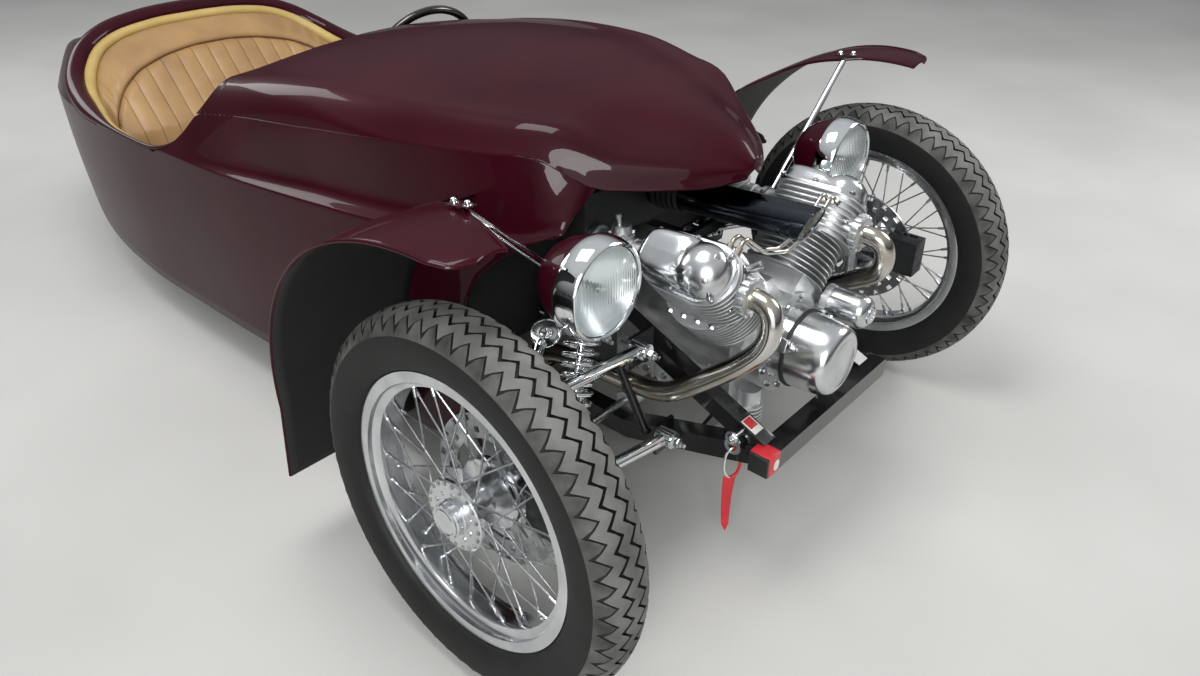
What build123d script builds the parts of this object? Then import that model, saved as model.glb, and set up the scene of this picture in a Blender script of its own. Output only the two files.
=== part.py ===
from build123d import *
import math
import os

# Cyclecar with two wheels in front, one wheel behind and an open two seat body.
# Millimetres, +Z up, the vehicle faces -Y, its left side is +X and the ground is z = 0.
# Lengths called behind are measured rearwards from the front axle.

# Driving dimensions of the whole vehicle
front_track = 1300.0
wheelbase = 2130.0
tail_overhang = 540.0
camber_deg = 2.5
panel_wall = 6.0
fit_gap = 0.3

# Front wheels and tyres
tyre_radius = 332.5
tyre_half_width = 53.0
tyre_shoulder_half = 44.0
tyre_crown_drop = 12.0
tyre_wall = 14.0
rim_seat_radius = 226.0
rim_flange_radius = 239.0
rim_half_width = 37.0
rim_well_radius = 212.0
rim_sheet = 5.0
hub_half_length = 42.0
hub_radius = 27.0
hub_flange_radius = 62.0
hub_flange_thick = 7.0
hub_cap_radius = 29.0
hub_cap_length = 16.0
spoke_radius = 2.0
spoke_count = 40
spoke_sweep_deg = 38.0
disc_radius = 135.0
disc_hole_radius = 48.0
disc_thick = 5.0
disc_offset = 52.0
axle_radius = 12.5
axle_clearance = 0.1

# Rear wheel and tyre
rear_tyre_radius = 310.0
rear_tyre_half_width = 62.0
rear_tyre_shoulder_half = 52.0
rear_rim_seat_radius = 203.0
rear_rim_flange_radius = 216.0
rear_rim_half_width = 45.0
rear_rim_well_radius = 190.0

# Front suspension, places given for the left side
kingpin_low = (572.0, 0.0, 250.0)
kingpin_high = (548.0, 0.0, 455.0)
upright_radius = 17.0
ball_radius = 18.0
ball_height = 26.0
ball_stud_radius = 9.0
ball_stud_clearance = 0.5
ball_gap = 17.0
wishbone_radius = 12.0
upper_pivot_x = 250.0
upper_pivots = (-5.0, 215.0)
upper_pivot_height = 430.0
lower_pivot_x = 235.0
lower_pivots = (-62.0, 230.0)
lower_pivot_height = 255.0
pivot_boss_radius = 17.0
pivot_boss_length = 34.0
pivot_plate_thick = 7.0
damper_low = (430.0, 12.0, 288.0)
damper_high = (300.0, 75.0, 520.0)
damper_radius = 20.0
damper_lug_radius = 12.0
spring_outer = 34.0
spring_core = 26.0
spring_wire = 8.0
spring_turns = 8
spring_seat_radius = 37.0
spring_seat_thick = 7.0
spring_low_end = 55.0
spring_high_end = 45.0

# Steering
steer_eye_x = 563.0
steer_arm_root_height = 325.0
steer_arm_length = 100.0
steer_arm_size = 14.0
steer_eye_radius = 13.0
steer_eye_height = 16.0
rod_height = 223.0
rod_radius = 8.0
rod_end_gap = 5.0
rack_tube_radius = 20.0
rack_half_length = 166.0
rack_clearance = 0.1
saddle_half_gap = 159.0
column_radius = 8.0
column_clearance = 0.5
column_foot_x = 128.0
steering_wheel_hub = (198.0, 1132.0, 645.0)
steering_wheel_radius = 165.0
steering_rim_radius = 10.0
steering_boss_radius = 28.0
steering_spoke_size = (24.0, 4.0)

# Box section frame, routes given as (behind, height) points
tube_size = 40.0
upper_tube_size = 35.0
hoop_tube_size = 30.0
rail_x = 172.0
crossbar_half_length = 217.0
crossbar_behind = -249.0
crossbar_height = 280.0
rail_height = 180.0
lower_rail_bend = 75.0
rail_lead = 265.0
upper_rail_height = 425.0
upper_rail_bend = 95.0
upper_rail_end = 315.0
upright_behind = 300.0
floor_cross_front = 340.0
floor_cross_middle = 1000.0
floor_cross_lead = 400.0
hoop_lead = 85.0
hoop_height = 640.0
pivot_plate_reach = 8.0
turret_size = 22.0
turret_plate = (64.0, 64.0, 10.0)
turret_root_behind = 215.0
cradle_thick = 8.0
front_cradle_low = 222.0
rear_cradle_low = 186.0
rear_cradle_high = 300.0
rear_cradle_half = 80.0
cradle_foot_height = 18.0
high_rail_lead = 14.0
high_rail_rise = 6.0
fork_length = 330.0
fork_pivot_radius = 18.0
fork_x = 106.0
fork_arm_radius = 20.0
fork_boss_radius = 26.0
drive_box_radius = 58.0

# Body panels
seam_height = 745.0
belt_height = 590.0
skirt_height = 120.0
cowl_behind = 1010.0
tail_lead = 530.0
nose_cap = 4.0
corner_inset = 108.0
floor_thick = 6.0
floor_front = 470.0
floor_gap = 15.0
bulkhead_behind = 330.0
toe_height = 330.0
dash_behind = 880.0
dash_low = 600.0
dash_thick = 12.0
coaming_radius = 22.0

# Seat and trim
seat_length = 413.0
seat_lead = 427.0
seat_half = 395.0
seat_height = 130.0
seat_edge_radius = 22.0
lining_front = 1130.0
lining_low = 345.0
lining_drop = 8.0
lining_thick = 30.0
back_top = 620.0
pad_top = 700.0

# Mudguards, front stays and headlamps
guard_radius = 450.0
guard_thick = 5.0
guard_tip = -58.0
guard_bulge = 12.0
guard_bulge_slope = 40.0
guard_low = 160.0
guard_lean = 28.0
stay_radius = 7.0
stay_top_x = 556.0
lamp_x = 384.0
lamp_front = -42.0
lamp_height = 616.0
lamp_radius = 82.0
lamp_depth = 118.0
lamp_sheet = 4.0
lamp_rim_depth = 20.0
lamp_back_radius = 8.0
lens_radius = 75.0
lens_bulge = 10.0
lens_thick = 6.0

# Engine
crank_height = 395.0
cylinder_angle = 45.0
cylinder_behind = -78.0
cylinder_stagger = 8.0
barrel_start = 118.0
barrel_end = 208.0
barrel_core_radius = 52.0
fin_radius = 82.0
fin_count = 9
fin_thick = 4.0
head_end = 292.0
head_fin_count = 8
head_fin_depth = 9.0
head_half_length = 84.0
head_half_width = 52.0
cover_end = 350.0
cover_half_length = 88.0
cover_half_width = 50.0
cover_dome_radius = 56.0
cover_dome_offset = 38.0
cover_dome_rise = 12.0
cover_dome_foot = 38.0
port_along = 246.0
port_radius = 24.0
exhaust_stub_end = 92.0
inlet_stub_end = 107.0
inlet_along = 254.0
case_radius = 112.0
case_front = -105.0
case_step = 175.0
case_rear = 300.0
case_low_half = 95.0
case_low = 258.0
sump_low = 238.0
bell_radius = 118.0
timing_radius = 98.0
rib_count = 7
rib_thick = 5.0
rib_height = 8.0
rib_top = 352.0
filter_x = 48.0
filter_lead = 12.0
filter_radius = 29.0
filter_fin_depth = 6.0
filter_pitch = 9.0
filter_fin_count = 5
filter_length = 74.0
alternator_radius = 75.0
alternator_end_radius = 64.0
alternator_front = -276.0
alternator_back = -160.0
alternator_fillet = 11.0
starter_x = 126.0
starter_z = 436.0
starter_radius = 34.0
starter_front = -262.0
starter_back = -180.0
intake_radius = 33.0
intake_front = -188.0
carburettor_radius = 25.0
carburettor_bowl_radius = 21.0
hose_radius = 4.0
hose_spread = 9.0
hose_along = 270.0
hose_shift = -48.0
hose_rise = 34.0
hose_dip_half = 62.0
hose_dip_height = 576.0
hose_ferrule_length = 14.0
air_box_half = 208.0
air_box_behind = 166.0
air_box_rear = 250.0
air_box_low = 556.0
air_box_high = 660.0
pipe_radius = 19.0
exhaust_reach = 66.0
nut_radius = 31.0
nut_length = 18.0
nut_teeth = 16
nut_tooth_height = 6.0
nut_tooth_width = 5.0
silencer_radius = 42.0
silencer_x = 262.0
silencer_height = 150.0
silencer_front = 515.0
silencer_length = 445.0
tail_pipe_length = 100.0

# Towing eye
eye_bore_radius = 9.0
eye_outer_radius = 17.0
eye_thick = 6.0
eye_bolt_radius = 7.0

# Places that follow the rear axle, each a lead ahead of it
tail_end = wheelbase + tail_overhang
tail_start = wheelbase - tail_lead
fork_pivot_behind = wheelbase - fork_length
floor_rear = fork_pivot_behind - floor_gap
floor_rail_end = wheelbase - rail_lead
hoop_top = (wheelbase - hoop_lead, hoop_height)
seat_rear = wheelbase - seat_lead
seat_front = seat_rear - seat_length
front_axle_y = -(tail_end - tyre_radius) / 2
up = Vector(0, 0, 1)


def at(x, behind, z):
    """Point of the part's frame for a place behind the front axle."""
    return Vector(x, front_axle_y + behind, z)


def bar(start, end, radius):
    """Round bar between two points."""
    run = end - start
    frame = Plane(origin=start, z_dir=run.normalized())
    return extrude(frame * Circle(radius), run.length)


def cross_bar(half_length, behind, z, radius):
    """Round bar across the vehicle."""
    return bar(at(-half_length, behind, z), at(half_length, behind, z), radius)


def square_bar(start, end, size, upward):
    """Square bar between two points, with one side turned towards upward."""
    run = end - start
    side = run.cross(upward).normalized()
    frame = Plane(origin=start, x_dir=side, z_dir=run.normalized())
    return extrude(frame * Rectangle(size, size), run.length)


def block(low, high):
    """Box between two corners."""
    size = high - low
    centre = (low + high) * 0.5
    return Pos(centre) * Box(size.X, size.Y, size.Z)


def side_block(side, x_range, y_range, z_range):
    """Box at one side, its x range given as distances from the middle."""
    low_x = min(side * x_range[0], side * x_range[1])
    high_x = max(side * x_range[0], side * x_range[1])
    return block(at(low_x, y_range[0], z_range[0]), at(high_x, y_range[1], z_range[1]))


def side_profile(points, half_width):
    """Solid over a closed outline of (behind, z) points, across the whole body."""
    outline = Polyline(*[at(0, behind, z) for behind, z in points], close=True)
    return extrude(make_face(outline), half_width, dir=(1, 0, 0), both=True)


def cross_profile(points, behind, thick):
    """Plate across the vehicle over a closed outline of (x, z) points."""
    outline = Polyline(*[at(x, behind, z) for x, z in points], close=True)
    return extrude(make_face(outline), thick, dir=(0, 1, 0))


def side_rail(route, size, x):
    """Box rail along (behind, z) points beside the middle, with mitred corners."""
    points = [at(x - size / 2, behind, z) for behind, z in route]
    runs = [(end - start).normalized() for start, end in zip(points, points[1:])]
    upper = []
    lower = []
    for index, point in enumerate(points):
        first = runs[max(index - 1, 0)]
        second = runs[min(index, len(runs) - 1)]
        normal_one = Vector(0, -first.Z, first.Y)
        normal_two = Vector(0, -second.Z, second.Y)
        mitre = (normal_one + normal_two) * (size / 2 / (1 + normal_one.dot(normal_two)))
        upper.append(point + mitre)
        lower.append(point - mitre)
    face = make_face(Polyline(*upper, *reversed(lower), close=True))
    return extrude(face, size, dir=(1, 0, 0))


def mirrored(shape):
    return mirror(shape, about=Plane.YZ)


def both_sides(shape):
    return Compound([shape, mirrored(shape)])


def export(shape, name):
    export_step(shape, "parts/" + name + ".step")


def ring(points):
    """Solid of revolution about Z from (radius, along) points."""
    outline = Polyline(*[Vector(radius, 0, along) for radius, along in points], close=True)
    return revolve(make_face(outline), axis=Axis.Z)


def comb(core, outer, start, pitch, thick, count):
    """Points of a row of round fins, as (radius, along)."""
    points = []
    for index in range(count):
        low = start + index * pitch
        points += [(core, low), (outer, low), (outer, low + thick), (core, low + thick)]
    return points


os.makedirs("parts", exist_ok=True)

# Wheels, turned about the local Z axis with +Z outboard


def make_tyre(radius, half_width, shoulder, seat, flange, rim_half):
    bead = rim_half - rim_sheet - fit_gap
    foot = seat + fit_gap
    inner_foot = bead - tyre_wall
    wall_foot = flange + 4.0
    edge = radius - tyre_crown_drop
    side_mid = (flange + radius) / 2 - 6.0
    outline = [
        Line(Vector(foot, 0, bead), Vector(wall_foot, 0, bead)),
        ThreePointArc(Vector(wall_foot, 0, bead), Vector(side_mid, 0, half_width), Vector(edge, 0, shoulder)),
        ThreePointArc(Vector(edge, 0, shoulder), Vector(radius, 0, 0), Vector(edge, 0, -shoulder)),
        ThreePointArc(
            Vector(edge, 0, -shoulder), Vector(side_mid, 0, -half_width), Vector(wall_foot, 0, -bead)
        ),
        Line(Vector(wall_foot, 0, -bead), Vector(foot, 0, -bead)),
        Line(Vector(foot, 0, -bead), Vector(foot, 0, -inner_foot)),
        ThreePointArc(Vector(foot, 0, -inner_foot), Vector(side_mid - 8.0, 0, 0), Vector(foot, 0, inner_foot)),
        Line(Vector(foot, 0, inner_foot), Vector(foot, 0, bead)),
    ]
    return revolve(make_face(outline), axis=Axis.Z)


def make_rim(seat, flange, rim_half, well):
    inner_seat = seat - rim_sheet
    inner_well = well - rim_sheet
    half = [
        (seat, rim_half - 16.0),
        (seat, rim_half - rim_sheet),
        (flange, rim_half - rim_sheet),
        (flange, rim_half),
        (inner_seat, rim_half),
        (inner_seat, rim_half - 14.0),
        (inner_well, rim_half - 22.0),
    ]
    top_well = (well, rim_half - 24.0)
    other = [(radius, -along) for radius, along in reversed(half)]
    return ring([top_well] + half + other + [(well, -rim_half + 24.0)])


def make_hub(with_disc, with_cap):
    inner = hub_half_length
    bore = axle_radius + axle_clearance
    hub = ring(
        [
            (bore, -inner),
            (bore, inner),
            (hub_cap_radius, inner),
            (hub_flange_radius, inner - 4.0),
            (hub_flange_radius, inner - 4.0 - hub_flange_thick),
            (hub_radius, inner - 18.0),
            (hub_radius, -inner + 18.0),
            (hub_flange_radius, -inner + 4.0 + hub_flange_thick),
            (hub_flange_radius, -inner),
        ]
    )
    if with_cap:
        cap = Pos(0, 0, inner) * extrude(Circle(hub_cap_radius), hub_cap_length)
        hub = hub + cap
    if with_disc:
        carrier = disc_hole_radius + 8.0
        disc = ring(
            [
                (disc_hole_radius, -disc_offset),
                (disc_radius, -disc_offset),
                (disc_radius, -disc_offset + disc_thick),
                (carrier, -disc_offset + disc_thick),
                (carrier, -inner + 1.0),
                (disc_hole_radius, -inner + 1.0),
            ]
        )
        hub = hub + disc
    return hub


def make_spokes(rim_radius):
    """Crossed wire spokes from both hub flanges to the rim well."""
    spokes = []
    step = 360.0 / spoke_count
    hub_r = hub_flange_radius - 6.0
    for index in range(spoke_count):
        flange_side = 1 if index % 2 == 0 else -1
        lean = 1 if index % 4 < 2 else -1
        hub_angle = math.radians(index * step)
        rim_angle = math.radians(index * step + lean * spoke_sweep_deg)
        hub_z = flange_side * (hub_half_length - 8.0)
        rim_z = flange_side * 9.0
        start = Vector(hub_r * math.cos(hub_angle), hub_r * math.sin(hub_angle), hub_z)
        end = Vector(rim_radius * math.cos(rim_angle), rim_radius * math.sin(rim_angle), rim_z)
        spokes.append(bar(start, end, spoke_radius))
    return spokes


def make_wheel(seat, flange, rim_half, well, is_front):
    rim = make_rim(seat, flange, rim_half, well)
    hub = make_hub(is_front, is_front)
    return rim.fuse(hub, *make_spokes(well - rim_sheet / 2))


front_tyre = make_tyre(
    tyre_radius, tyre_half_width, tyre_shoulder_half, rim_seat_radius, rim_flange_radius, rim_half_width
)
front_wheel = make_wheel(rim_seat_radius, rim_flange_radius, rim_half_width, rim_well_radius, True)

# The right wheel turns about an axis that leans outward and up by the camber angle.
# Its height lets the rounded tread touch the ground.
camber = math.radians(camber_deg)
tread_radius = (tyre_shoulder_half**2 + tyre_crown_drop**2) / (2 * tyre_crown_drop)
axle_height = (tyre_radius - tread_radius) * math.cos(camber) + tread_radius
wheel_centre = at(-front_track / 2, 0, axle_height)
outboard = Vector(-math.cos(camber), 0, math.sin(camber))
wheel_plane = Plane(origin=wheel_centre, x_dir=(0, 1, 0), z_dir=outboard)
tyre_right = wheel_plane * front_tyre
wheel_right = wheel_plane * front_wheel
export(tyre_right, "tyre_front_right")
export(mirrored(tyre_right), "tyre_front_left")
export(wheel_right, "wheel_front_right")
export(mirrored(wheel_right), "wheel_front_left")

rear_tyre = make_tyre(
    rear_tyre_radius,
    rear_tyre_half_width,
    rear_tyre_shoulder_half,
    rear_rim_seat_radius,
    rear_rim_flange_radius,
    rear_rim_half_width,
)
rear_wheel = make_wheel(
    rear_rim_seat_radius, rear_rim_flange_radius, rear_rim_half_width, rear_rim_well_radius, False
)
rear_plane = Plane(origin=at(0, wheelbase, rear_tyre_radius), x_dir=(0, 1, 0), z_dir=(-1, 0, 0))
export(rear_plane * rear_tyre, "tyre_rear")
export(rear_plane * rear_wheel, "wheel_rear")
print("wheels done")

# Front suspension, right side first
low_ball = at(-kingpin_low[0], kingpin_low[1], kingpin_low[2])
high_ball = at(-kingpin_high[0], kingpin_high[1], kingpin_high[2])
kingpin = (high_ball - low_ball).normalized()
upright = bar(low_ball + kingpin * ball_gap, high_ball - kingpin * ball_gap, upright_radius)
ball_stud = bar(low_ball - kingpin * ball_gap, high_ball + kingpin * ball_gap, ball_stud_radius)
stub_start = wheel_centre - outboard * 100.0
stub = bar(stub_start, wheel_centre + outboard * (hub_half_length - 2.0), axle_radius)
stub_collar = bar(stub_start + outboard * 8.0, wheel_centre - outboard * (disc_offset + 3.0), 26.0)
arm_root = at(-steer_eye_x, 0, steer_arm_root_height)
arm_tip = at(-steer_eye_x, steer_arm_length, rod_height)
steer_arm = square_bar(arm_root, arm_tip, steer_arm_size, up)
steer_eye = Pos(arm_tip) * Cylinder(steer_eye_radius, steer_eye_height)
# The caliper sits ahead of the axle and straddles the disc.
caliper_centre = wheel_centre - outboard * (disc_offset - disc_thick / 2)
caliper_plane = Plane(origin=caliper_centre, x_dir=(0, -1, 0), z_dir=outboard)
caliper_body = Pos(118.0, 22.0, -12.0) * Box(76.0, 84.0, 48.0)
caliper_slot = Pos(disc_radius / 2 + 3.0, 22.0, 0) * Box(disc_radius + 6.0, 400.0, disc_thick + 6.0)
caliper_arm = Pos(52.0, 10.0, -36.0) * Box(104.0, 34.0, 16.0)
caliper = caliper_plane * ((caliper_body - caliper_slot) + caliper_arm)
knuckle_right = upright.fuse(ball_stud, stub, stub_collar, steer_arm, steer_eye, caliper)
export(knuckle_right, "knuckle_right")
export(mirrored(knuckle_right), "knuckle_left")


def wishbone(ball, pivot_x, pivots, height):
    """A shaped arm with two legs, a socket at its tip and a bush on each pivot."""
    arm = bar(ball - kingpin * (ball_height / 2), ball + kingpin * (ball_height / 2), ball_radius)
    for behind in pivots:
        inner = at(-pivot_x, behind, height)
        half = Vector(0, pivot_boss_length / 2, 0)
        arm = arm + bar(inner, ball, wishbone_radius)
        arm = arm + bar(inner - half, inner + half, pivot_boss_radius)
    return arm


def leg_point(ball, pivot_x, behind, height, x):
    """Point on one leg of an arm at a distance x from the middle."""
    inner = at(-pivot_x, behind, height)
    share = (x - pivot_x) / (-ball.X - pivot_x)
    return inner + (ball - inner) * share


socket = bar(low_ball - kingpin * 40.0, high_ball + kingpin * 40.0, ball_stud_radius + ball_stud_clearance)
upper_arm = wishbone(high_ball, upper_pivot_x, upper_pivots, upper_pivot_height) - socket
damper_foot = at(-damper_low[0], damper_low[1], damper_low[2])
damper_top = at(-damper_high[0], damper_high[1], damper_high[2])
damper_axis = (damper_top - damper_foot).normalized()
lug_foot = damper_foot - damper_axis * ((damper_foot.Z - lower_pivot_height) / damper_axis.Z)
tie_front = leg_point(low_ball, lower_pivot_x, lower_pivots[0], lower_pivot_height, -lug_foot.X)
tie_rear = leg_point(low_ball, lower_pivot_x, lower_pivots[1], lower_pivot_height, -lug_foot.X)
lower_arm = wishbone(low_ball, lower_pivot_x, lower_pivots, lower_pivot_height)
lower_arm = lower_arm + bar(tie_front, tie_rear, wishbone_radius - 2.0)
lower_arm = lower_arm + bar(lug_foot, damper_foot - damper_axis * fit_gap, damper_lug_radius)
lower_arm = lower_arm - socket
damper_run = (damper_top - damper_foot).length
spring_low = spring_low_end + spring_seat_thick
spring_high = damper_run - spring_high_end - spring_seat_thick
spring_pitch = (spring_high - spring_low) / spring_turns
damper_points = [(0, 0), (damper_radius, 0), (damper_radius, spring_low_end)]
damper_points += [(spring_seat_radius, spring_low_end), (spring_seat_radius, spring_low)]
coil_start = spring_low + (spring_pitch - spring_wire) / 2
damper_points += [(spring_core, spring_low)]
damper_points += comb(spring_core, spring_outer, coil_start, spring_pitch, spring_wire, spring_turns)
damper_points += [(spring_core, spring_high), (spring_seat_radius, spring_high)]
damper_points += [(spring_seat_radius, spring_high + spring_seat_thick)]
damper_points += [(damper_radius, spring_high + spring_seat_thick)]
damper_points += [(damper_radius, damper_run), (0, damper_run)]
damper = Plane(origin=damper_foot, z_dir=damper_axis) * ring(damper_points)
export(Compound([upper_arm, mirrored(upper_arm), lower_arm, mirrored(lower_arm)]), "wishbones")
export(both_sides(damper), "spring_dampers")

# The rack bar and both track rods slide across the vehicle; the rods stop short of the eyes.
rod_half = steer_eye_x - steer_eye_radius - rod_end_gap
rack_behind = steer_arm_length
export(cross_bar(rod_half, rack_behind, rod_height, rod_radius), "track_rods")

# Steering wheel on the left side with its column down to the pinion
wheel_hub = at(*steering_wheel_hub)
column_foot = at(column_foot_x, rack_behind, rod_height)
column_dir = (wheel_hub - column_foot).normalized()
steering_plane = Plane(origin=wheel_hub, x_dir=(1, 0, 0), z_dir=column_dir)
steering_wheel = steering_plane * Torus(steering_wheel_radius, steering_rim_radius)
steering_wheel = steering_wheel + steering_plane * Cylinder(steering_boss_radius, 24.0)
for angle in (90, 210, 330):
    reach = steering_wheel_radius - 4.0
    flat = Pos(reach / 2, 0, 0) * Box(reach, steering_spoke_size[0], steering_spoke_size[1])
    steering_wheel = steering_wheel + steering_plane * (Rot(0, 0, angle) * flat)
export(steering_wheel, "steering_wheel")
column_end = column_foot + column_dir * 26.0
export(bar(column_end, wheel_hub - column_dir * 12.0, column_radius), "steering_column")
pinion_boss = bar(column_foot + column_dir * 10.0, column_foot + column_dir * 70.0, column_radius + 9.0)
rail_top = rail_height + tube_size / 2
rack_housing = cross_bar(rack_half_length, rack_behind, rod_height, rack_tube_radius) + pinion_boss
for side in (-1, 1):
    inner = saddle_half_gap - 7.0
    outer = saddle_half_gap + 7.0
    depth = (rack_behind - 20.0, rack_behind + 20.0)
    height = (rail_top + fit_gap, rod_height + 12.0)
    rack_housing = rack_housing + side_block(side, (inner, outer), depth, height)
rack_housing = rack_housing - cross_bar(400.0, rack_behind, rod_height, rod_radius + rack_clearance)
column_bore = bar(column_foot + column_dir * 22.0, wheel_hub, column_radius + column_clearance)
export(rack_housing - column_bore, "rack_housing")
print("steering done")

# Box section frame
crossbar_ends = [at(side * crossbar_half_length, crossbar_behind, crossbar_height) for side in (-1, 1)]
crossbar = square_bar(*crossbar_ends, tube_size, up)
crossbar_space = square_bar(*crossbar_ends, tube_size + 2 * fit_gap, up)
turret_top = damper_top + damper_axis * (turret_plate[2] / 2 + fit_gap)
turret_frame = Plane(origin=turret_top, z_dir=damper_axis)
turret_cap = turret_frame * Box(*turret_plate)
turret_root = at(-rail_x, turret_root_behind, upper_rail_height)
turret_end = at(-damper_high[0], damper_high[1] + 6.0, damper_high[2] + 22.0)
low_route = [
    (crossbar_behind, crossbar_height),
    (lower_rail_bend, rail_height),
    (floor_rail_end + hoop_tube_size / 2, rail_height),
]
high_route = [
    (crossbar_behind + high_rail_lead, crossbar_height + high_rail_rise),
    (upper_rail_bend, upper_rail_height),
    (upper_rail_end, upper_rail_height),
]
hoop_route = [(floor_rail_end, rail_height), hoop_top]
upright_route = [(upright_behind, rail_height), (upright_behind, upper_rail_height)]
low_rail = side_rail(low_route, tube_size, -rail_x)
high_rail = side_rail(high_route, upper_tube_size, -rail_x)
hoop_leg = side_rail(hoop_route, hoop_tube_size, -rail_x)
upright = side_rail(upright_route, hoop_tube_size, -rail_x)
side_frame = low_rail.fuse(high_rail, hoop_leg, upright) - crossbar_space
export(both_sides(side_frame), "frame")
cross_table = [
    # behind, height, size of the rails between which the tube lies
    (floor_cross_front, rail_height, tube_size),
    (floor_cross_middle, rail_height, tube_size),
    (wheelbase - floor_cross_lead, rail_height, tube_size),
    (*hoop_top, hoop_tube_size),
]
cross_tubes = [crossbar]
for behind, height, rail_size in cross_table:
    reach = rail_x - rail_size / 2 - fit_gap
    cross_tubes.append(square_bar(at(-reach, behind, height), at(reach, behind, height), hoop_tube_size, up))

# Cradle plates under the crankcase and under the bell housing
cradle_foot = rail_x - tube_size / 2 - fit_gap
case_seat = case_low - fit_gap


def cradle_outline(half, high, foot_low):
    """Outline of a cradle plate from its top, half wide, to its feet between the rails."""
    right = [(-half, high), (-cradle_foot, foot_low + cradle_foot_height), (-cradle_foot, foot_low)]
    return right + [(-x, z) for x, z in reversed(right)]


front_outline = cradle_outline(case_low_half, case_seat, front_cradle_low)
rear_outline = cradle_outline(rear_cradle_half, rear_cradle_high, rear_cradle_low)
rear_cradle_behind = case_rear - 44.0
front_cradle = cross_profile(front_outline, case_front + 20.0, cradle_thick)
rear_cradle = cross_profile(rear_outline, rear_cradle_behind, cradle_thick)
bell_space = bar(at(0, case_step, crank_height), at(0, case_rear + 50.0, crank_height), bell_radius + fit_gap)
cross_tubes += [front_cradle, rear_cradle - bell_space]
export(Compound(cross_tubes), "cross_tubes")


def route_height(route, behind):
    """Height of a rail's middle line at a place behind the front axle."""
    for (fore, fore_z), (aft, aft_z) in zip(route, route[1:]):
        if fore <= behind <= aft:
            return fore_z + (aft_z - fore_z) * (behind - fore) / (aft - fore)
    raise ValueError(behind)


# Plates on the rails carry the wishbone bushes, and an arm on each side the spring's upper end.
pivot_table = [
    # distance from the middle, behind, height, rail that carries the plate, its size
    (upper_pivot_x, upper_pivots[0], upper_pivot_height, high_route, upper_tube_size),
    (upper_pivot_x, upper_pivots[1], upper_pivot_height, high_route, upper_tube_size),
    (lower_pivot_x, lower_pivots[0], lower_pivot_height, low_route, tube_size),
    (lower_pivot_x, lower_pivots[1], lower_pivot_height, low_route, tube_size),
]
brackets = []
for pivot_x, behind, height, route, size in pivot_table:
    plate_front = behind + pivot_boss_length / 2 + fit_gap
    plate_rear = plate_front + pivot_plate_thick
    rail_middle = route_height(route, plate_front)
    low = min(rail_middle - size / 4, height - pivot_boss_radius)
    high = max(rail_middle + size / 4, height + pivot_boss_radius)
    x_range = (rail_x + size / 2, pivot_x + pivot_plate_reach)
    for side in (-1, 1):
        brackets.append(side_block(side, x_range, (plate_front, plate_rear), (low, high)))
turret_arm = square_bar(turret_root, turret_end, turret_size, up)
turret = (turret_arm + turret_cap) - side_frame
export(Compound(brackets + [turret, mirrored(turret)]), "suspension_brackets")
print("frame done")

# Rear fork, with the shaft drive's bevel box on its right arm
rail_inner = rail_x - tube_size / 2
rear_fork = cross_bar(rail_inner - fit_gap, fork_pivot_behind, rail_height, fork_pivot_radius)
rear_fork = rear_fork + cross_bar(fork_x, wheelbase, rear_tyre_radius, axle_radius)
for side in (-1, 1):
    pivot_end = at(side * fork_x, fork_pivot_behind, rail_height)
    axle_end = at(side * fork_x, wheelbase, rear_tyre_radius)
    rear_fork = rear_fork + bar(pivot_end, axle_end, fork_arm_radius)
    boss_inner = at(side * (hub_half_length + 1.0), wheelbase, rear_tyre_radius)
    rear_fork = rear_fork + bar(boss_inner, axle_end, axle_radius + 6.0)
    boss_outer = at(side * (fork_x + 24.0), wheelbase, rear_tyre_radius)
    rear_fork = rear_fork + bar(axle_end, boss_outer, fork_boss_radius)
drive_box_end = at(-fork_x + 34.0, wheelbase, rear_tyre_radius)
drive_box = bar(at(-fork_x - 30.0, wheelbase, rear_tyre_radius), drive_box_end, drive_box_radius)
export(rear_fork + drive_box, "rear_fork")
print("fork done")

# Body sections, half widths measured from the middle
# behind, crown height, seam half, seam height, belt half, belt height, skirt half, skirt height
body_rows = [
    (-50.0, 729.0, 22.0, 700.0, 0, 0, 0, 0),
    (-25.0, 754.0, 74.0, 694.0, 0, 0, 0, 0),
    (20.0, 775.0, 130.0, 692.0, 0, 0, 0, 0),
    (75.0, 791.0, 187.0, 692.0, 0, 0, 0, 0),
    (120.0, 802.0, 232.0, 697.0, 318.0, 640.0, 318.0, 560.0),
    (200.0, 815.0, 288.0, seam_height, 352.0, 606.0, 352.0, skirt_height),
    (300.0, 827.0, 332.0, seam_height, 382.0, 600.0, 378.0, skirt_height),
    (480.0, 840.0, 398.0, seam_height, 424.0, belt_height, 414.0, skirt_height),
    (700.0, 837.0, 424.0, 735.0, 450.0, 578.0, 435.0, skirt_height),
    (900.0, 813.0, 432.0, 715.0, 464.0, 565.0, 448.0, skirt_height),
    (1050.0, 787.0, 430.0, 690.0, 471.0, 555.0, 456.0, skirt_height),
    (1300.0, 755.0, 440.0, 640.0, 475.0, 545.0, 462.0, skirt_height),
    (tail_start, 715.0, 440.0, 610.0, 471.0, 530.0, 462.0, skirt_height),
]
tail_rows = [
    (tail_start, 715.0, 440.0, 610.0, 471.0, 530.0, 462.0, skirt_height),
    (wheelbase - 180.0, 698.0, 403.0, 590.0, 434.0, 518.0, 424.0, 126.0),
    (wheelbase + 20.0, 676.0, 360.0, 570.0, 391.0, 503.0, 380.0, 160.0),
    (wheelbase + 220.0, 640.0, 294.0, 545.0, 323.0, 483.0, 310.0, 220.0),
    (wheelbase + 390.0, 592.0, 205.0, 512.0, 230.0, 460.0, 216.0, 300.0),
    (wheelbase + 500.0, 540.0, 106.0, 478.0, 121.0, 437.0, 110.0, 368.0),
    (tail_end, 500.0, 36.0, 462.0, 42.0, 430.0, 36.0, 400.0),
]
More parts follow.
